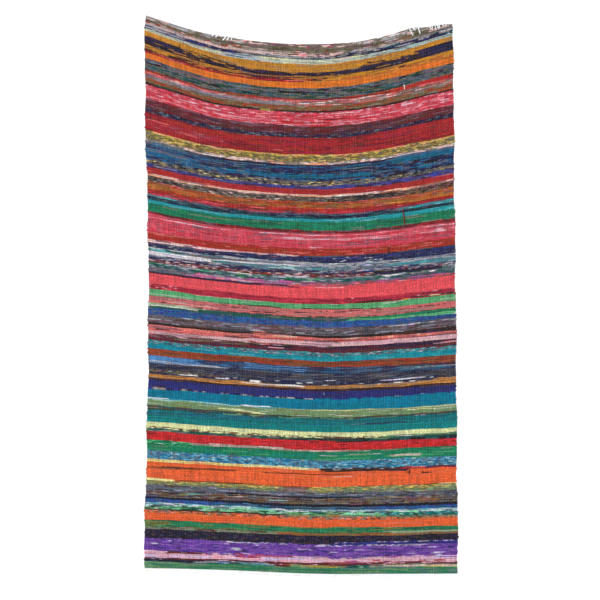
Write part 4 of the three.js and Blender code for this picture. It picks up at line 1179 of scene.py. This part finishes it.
# %% [markdown]
# ## Finishes
#
# Every shot has a colour, a round section, creases beside it and short fibres that run along it, and
# the strings cross it as thin pale dashes, each in a dent of its own. All but the colour is the same
# on every stripe, so it is one node group: it takes the two flat addresses, and gives back a shade
# for the colour, where the strings show, and a height for the bump. The shade is partly painted
# shade: the colour is darkened in the creases and dents, where shade falls; the rest of it is the
# streaks of the fibres and ribs.

# %% Helpers for nodes
NOISE_SPAN = (0.3, 0.7)  # nearly all of a noise lies between these


def plug(sockets, key):
    """A socket by its number, or the one of that name that the node's settings leave in use."""
    return sockets[key] if isinstance(key, int) else next(s for s in sockets if s.name == key and s.enabled)


def add(tree, kind, inputs=None, **settings):
    """A node with its settings; an input is a value, or the socket that feeds it."""
    node = tree.nodes.new(kind)
    for key, value in settings.items():
        setattr(node, key, value)
    for key, value in (inputs or {}).items():
        if isinstance(value, bpy.types.NodeSocket):
            tree.links.new(value, plug(node.inputs, key))
        else:
            plug(node.inputs, key).default_value = value
    return node


def reckon(tree, operation, *values):
    """A Math node on these values or sockets: its output socket."""
    return add(tree, "ShaderNodeMath", dict(enumerate(values)), operation=operation).outputs[0]


def smooth_step(tree, value, low, high, start=0.0, end=1.0):
    """Runs smoothly from start to end as the value goes from low to high."""
    inputs = {"Value": value, "From Min": low, "From Max": high, "To Min": start, "To Max": end}
    ramp = add(tree, "ShaderNodeMapRange", inputs, interpolation_type="SMOOTHSTEP")
    return ramp.outputs["Result"]


def streaks(tree, spot, size_x, size_y, detail):
    """Noise stretched to patches of that size, from -1 to 1."""
    stretched = add(tree, "ShaderNodeMapping", {0: spot, "Scale": (1 / size_x, 1 / size_y, 1)})
    inputs = {0: stretched.outputs[0], "Scale": 1.0, "Detail": detail, "Roughness": 0.6}
    noise = add(tree, "ShaderNodeTexNoise", inputs)
    return smooth_step(tree, noise.outputs["Fac"], *NOISE_SPAN, -1.0, 1.0)


def new_group(name, inputs, outputs):
    """An empty shader group: inputs are (name, type, value) and outputs are (name, type)."""
    tree = bpy.data.node_groups.new(name, "ShaderNodeTree")
    for label, kind, value in inputs:
        socket = tree.interface.new_socket(label, in_out="INPUT", socket_type=f"NodeSocket{kind}")
        if value is not None:
            socket.default_value = value
    for label, kind in outputs:
        tree.interface.new_socket(label, in_out="OUTPUT", socket_type=f"NodeSocket{kind}")
    return tree, tree.nodes.new("NodeGroupInput").outputs, tree.nodes.new("NodeGroupOutput").inputs


# %% Group: shots, creases, strings and fibres
FIBRE_LENGTH, FIBRE_WIDTH, FIBRE_DETAIL = 0.0042, 0.0022, 3.0
RIB_WIDTH, RIB_LENGTH, RIB_DETAIL = 0.003, 0.045, 2.0
STRING_HALF, STRING_CORE, DENT_HALF = 0.075, 0.045, 0.2  # in warp pitches
CREASE_FROM, STRING_UP_TO, CREASE_AT = 0.24, 0.3, 0.5  # in shots, from the crest down or up
# a dent's share also sets how dark its painted shade is
DENT_SHARE, STRING_RISE, FIBRE_RISE = 0.35, 0.9, 0.2  # against a crease, which is 1 deep

weave_group, given, result = new_group(
    "weave_surface",
    [
        ("Weave", "Vector", None),
        ("Cloth", "Vector", None),
        # how dark the painted shade in the creases and dents is
        ("Painted Crease Shade", "Float", 0.4),
        ("Fibres", "Float", 0.3),
        ("Ribs", "Float", 0.15),
    ],
    [("Shade", "Float"), ("Height", "Float"), ("String", "Float")],
)


# %% Where the creases, dents and strings are
def weave_maths(operation, *values):
    """A Math node in the weave group."""
    return reckon(weave_group, operation, *values)


address = add(weave_group, "ShaderNodeSeparateXYZ", {0: given["Weave"]}).outputs
warp_number = weave_maths("ROUND", address["X"])
shot_number = weave_maths("FLOOR", address["Y"])
off_string = weave_maths("ABSOLUTE", weave_maths("SUBTRACT", address["X"], warp_number))
down = weave_maths("SUBTRACT", address["Y"], shot_number)
off_crest = weave_maths("ABSOLUTE", weave_maths("SUBTRACT", down, 0.5))
crossing = weave_maths("ADD", warp_number, shot_number)
string_over = weave_maths("ABSOLUTE", weave_maths("MODULO", crossing, 2.0))

creased = smooth_step(weave_group, off_crest, CREASE_FROM, CREASE_AT)
on_shot = smooth_step(weave_group, off_crest, STRING_UP_TO, CREASE_AT, 1.0, 0.0)
near_string = smooth_step(weave_group, off_string, STRING_HALF, DENT_HALF, 1.0, 0.0)
on_string = smooth_step(weave_group, off_string, STRING_CORE, STRING_HALF, 1.0, 0.0)
dent = weave_maths("MULTIPLY", near_string, string_over)
string_here = weave_maths("MULTIPLY", on_string, weave_maths("MULTIPLY", string_over, on_shot))
# where the creases and dents are: this sinks the bump, and the same mask darkens the colour as painted shade
hollow_and_painted_shade = weave_maths("MAXIMUM", creased, weave_maths("MULTIPLY", dent, DENT_SHARE))

# %% Shade and height
fibre = streaks(weave_group, given["Cloth"], FIBRE_LENGTH, FIBRE_WIDTH, FIBRE_DETAIL)
rib = streaks(weave_group, given["Cloth"], RIB_WIDTH, RIB_LENGTH, RIB_DETAIL)
# painted shade: the colour is darkened in the creases and dents, as far as the crease amount given to the
# group says
painted_crease_shade = weave_maths("SUBTRACT", 1.0, weave_maths("MULTIPLY", hollow_and_painted_shade, given["Painted Crease Shade"]))
streaked = weave_maths("MULTIPLY_ADD", fibre, given["Fibres"], 1.0)
ribbed = weave_maths("MULTIPLY_ADD", rib, given["Ribs"], 1.0)
shaded = weave_maths("MULTIPLY", weave_maths("MULTIPLY", painted_crease_shade, streaked), ribbed)
relieved = weave_maths("SUBTRACT", weave_maths("MULTIPLY", string_here, STRING_RISE), hollow_and_painted_shade)
height = weave_maths("MULTIPLY_ADD", fibre, FIBRE_RISE, relieved)
for name, value in {"Shade": shaded, "Height": height, "String": string_here}.items():
    weave_group.links.new(value, result[name])
print("weave group:", len(weave_group.nodes), "nodes and", len(weave_group.links), "links")

# %% What the finishes share
SPECULAR, SHEEN_ROUGHNESS = 0.15, 0.5


def finished(name, roughness, sheen):
    """A new material with its Principled shader; what is the same all over is set on the shader."""
    material = bpy.data.materials.new(name)
    material.use_nodes = True
    shader = material.node_tree.nodes["Principled BSDF"]
    shader.inputs["Roughness"].default_value = roughness
    shader.inputs["Specular IOR Level"].default_value = SPECULAR
    shader.inputs["Sheen Weight"].default_value = sheen
    shader.inputs["Sheen Roughness"].default_value = SHEEN_ROUGHNESS
    return material, material.node_tree, shader


def shaded_rag(tree, shade):
    """The rag's own colour, which each corner of the mesh keeps, times a shade."""
    rag = add(tree, "ShaderNodeAttribute", attribute_name="rag_colour").outputs["Color"]
    return add(tree, "ShaderNodeVectorMath", {0: rag, "Scale": shade}, operation="SCALE").outputs[0]


def bump_up(tree, shader, height, depth):
    """Turns a height from 0 to 1 into a bump that is `depth` metres deep."""
    bump = add(tree, "ShaderNodeBump", {"Height": height, "Strength": 1.0, "Distance": depth})
    tree.links.new(bump.outputs["Normal"], shader.inputs["Normal"])


# %% The rag weave
STRING_COLOUR = (206, 200, 192)
SPOTS_PER_METRE, SPOT_SPAN = 60.0, (0.35, 0.65)
WORN_STRING = 0.3  # how much of its paleness a string keeps where the rags cover it most


def woven_finish(name, crease, fibres, ribs, string_shows, depth):
    """The weave group over the rags' own colours, darkened in the creases and dents by `crease` as
    painted shade. string_shows is how pale the strings are on top.
    """
    material, tree, shader = finished(name, roughness=0.92, sheen=0.04)
    weave = add(tree, "ShaderNodeUVMap", uv_map="weave").outputs[0]
    cloth = add(tree, "ShaderNodeUVMap", uv_map="cloth").outputs[0]
    inputs = {"Weave": weave, "Cloth": cloth, "Painted Crease Shade": crease, "Fibres": fibres, "Ribs": ribs}
    surface = add(tree, "ShaderNodeGroup", inputs, node_tree=weave_group)
    spots = add(tree, "ShaderNodeTexNoise", {0: cloth, "Scale": SPOTS_PER_METRE, "Detail": 2.0})
    least = string_shows * WORN_STRING
    bare = smooth_step(tree, spots.outputs["Fac"], *SPOT_SPAN, least, string_shows)
    shows = reckon(tree, "MULTIPLY", surface.outputs["String"], bare)
    rag, string = shaded_rag(tree, surface.outputs["Shade"]), (*linear(STRING_COLOUR), 1)
    colour = add(tree, "ShaderNodeMix", {"Factor": shows, "A": rag, "B": string}, data_type="RGBA")
    tree.links.new(plug(colour.outputs, "Result"), shader.inputs["Base Color"])
    bump_up(tree, shader, surface.outputs["Height"], depth)
    return material


# the second number is how dark the painted shade in the creases and dents is
rag_weave = woven_finish("rag_weave", 0.4, fibres=0.4, ribs=0.2, string_shows=0.3, depth=0.0007)
cotton_weave = woven_finish("cotton_weave", 0.12, fibres=0.04, ribs=0.03, string_shows=0.0, depth=0.0004)

# %% The cord finish
FLUFF_PER_METRE, FLUFF_SHADES, FLUFF_DEPTH = 900.0, (0.75, 1.05), 0.0003


def cord_finish(name, roughness):
    """The strand's own colour, mottled by fine fibres that run every way."""
    material, tree, shader = finished(name, roughness, sheen=0.1)
    spot = add(tree, "ShaderNodeTexCoord").outputs["Object"]
    noise = add(tree, "ShaderNodeTexNoise", {0: spot, "Scale": FLUFF_PER_METRE, "Detail": 3.0})
    fluff = noise.outputs["Fac"]
    shade = smooth_step(tree, fluff, *NOISE_SPAN, *FLUFF_SHADES)
    tree.links.new(shaded_rag(tree, shade), shader.inputs["Base Color"])
    bump_up(tree, shader, fluff, FLUFF_DEPTH)
    return material


cotton_cord = cord_finish("cotton_cord", 0.85)
rag_thread = cord_finish("rag_thread", 0.9)
print("finishes:", [m.name for m in (rag_weave, cotton_weave, cotton_cord, rag_thread)])

# %% [markdown]
# ## Into the frame
#
# The bands are one cloth, so they all ride on the rug's only body and take the place of its woven
# panel, and the loose threads go with them.


def place_in_frame(piece, material, node):
    """Gives the piece its finish, puts it on the rug's body, and hides the frame node whose place it takes.
    """
    piece.data.materials.append(material)
    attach(piece, "root")
    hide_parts(node)


for panel in panels:
    place_in_frame(panel, rag_weave, "woven_panel")
place_in_frame(loose_threads, rag_thread, "woven_panel")
place_in_frame(heading, cotton_weave, "bottom_heading")
place_in_frame(right_ends, cotton_cord, "warp_ends_right")
place_in_frame(left_ends, cotton_cord, "warp_ends_left")

# %% [markdown]
# ## Stage, light and camera
#
# The rug hangs clear of a sweep of pale paper. A large soft light from the upper left draws the ribs,
# a weaker one from the right opens their shadows, and a third is for the paper alone. The camera
# stands ten metres off with a long lens, so that perspective doesn't bend the stripes.

# %% Stage
BACKDROP_HALF, FLOOR_Z = 4.0, -1.66
FLOOR_FRONT, WALL_BACK, SWEEP_RADIUS, WALL_TOP = -7.5, 1.6, 0.9, 4.0
ARC_POINTS = 17
PAPER = (0.9, 0.9, 0.9, 1)


def sweep(name, half_width, floor_z, near, far, radius, top):
    """A floor that turns up into a wall through a quarter circle: the profile is a flat, an arc and an
    upright, carried straight along X."""
    turn = np.linspace(0, np.pi / 2, ARC_POINTS)
    y = np.concatenate([[near], far - radius + radius * np.sin(turn), [far]])
    z = np.concatenate([[floor_z], floor_z + radius - radius * np.cos(turn), [top]])
    x = np.repeat([-half_width, half_width], len(y))
    points = np.stack([x, np.tile(y, 2), np.tile(z, 2)], -1)
    low = np.arange(len(y) - 1)
    faces = np.stack([low, low + len(y), low + len(y) + 1, low + 1], -1)
    return new_mesh(name, points, faces)


backdrop = sweep("backdrop", BACKDROP_HALF, FLOOR_Z, FLOOR_FRONT, WALL_BACK, SWEEP_RADIUS, WALL_TOP)
pale_paper, tree, paper = finished("pale_paper", roughness=1.0, sheen=0.0)
paper.inputs["Base Color"].default_value = PAPER
behind = add(tree, "ShaderNodeNewGeometry").outputs["Backfacing"]
clear = add(tree, "ShaderNodeBsdfTransparent").outputs[0]
seen = add(tree, "ShaderNodeMixShader", {0: behind, 1: paper.outputs[0], 2: clear})
tree.links.new(seen.outputs[0], tree.nodes["Material Output"].inputs["Surface"])
backdrop.data.materials.append(pale_paper)
print(backdrop.name, "stands", WALL_BACK, "m behind the rug's top edge")

# %% Light
RUG_CENTRE = (0, 0, -0.72)
WORLD_COLOUR, WORLD_STRENGTH = (1, 1, 1, 1), 0.5


def soft_light(name, place_at, aim, size, power):
    """A square area light that looks at a point."""
    light = bpy.data.lights.new(name, "AREA")
    light.shape, light.size, light.energy = "SQUARE", size, power
    lamp = bpy.data.objects.new(name, light)
    bpy.context.collection.objects.link(lamp)
    lamp.location = place_at
    lamp.rotation_euler = (Vector(aim) - Vector(place_at)).to_track_quat("-Z", "Y").to_euler()
    return lamp


soft_light("key_light", (-2.6, -3.6, 1.6), aim=RUG_CENTRE, size=2.4, power=105)
soft_light("fill_light", (3.0, -3.4, 0.4), aim=RUG_CENTRE, size=2.6, power=42)
soft_light("ground_light", (0, 0.3, 3.0), aim=(0, 1.5, -0.6), size=3.0, power=150)

world = bpy.data.worlds.new("studio")
world.use_nodes = True
world.node_tree.nodes["Background"].inputs["Color"].default_value = WORLD_COLOUR
world.node_tree.nodes["Background"].inputs["Strength"].default_value = WORLD_STRENGTH
scene = bpy.context.scene
scene.world = world
scene.view_settings.view_transform = "Standard"

# %% Camera
VIEW_CENTRE = (0.0038, -0.015, -0.7236)
VIEW_WIDTH, VIEW_DISTANCE = 1.6986, 10.0
SENSOR_WIDTH = 36

camera_data = bpy.data.cameras.new("camera")
camera_data.sensor_width = SENSOR_WIDTH
camera_data.lens = camera_data.sensor_width * VIEW_DISTANCE / VIEW_WIDTH
camera = bpy.data.objects.new("camera", camera_data)
bpy.context.collection.objects.link(camera)
camera.location = (VIEW_CENTRE[0], VIEW_CENTRE[1] - VIEW_DISTANCE, VIEW_CENTRE[2])
camera.rotation_euler = (np.pi / 2, 0, 0)
scene.camera = camera
print("camera with a lens of", round(camera_data.lens), "mm")
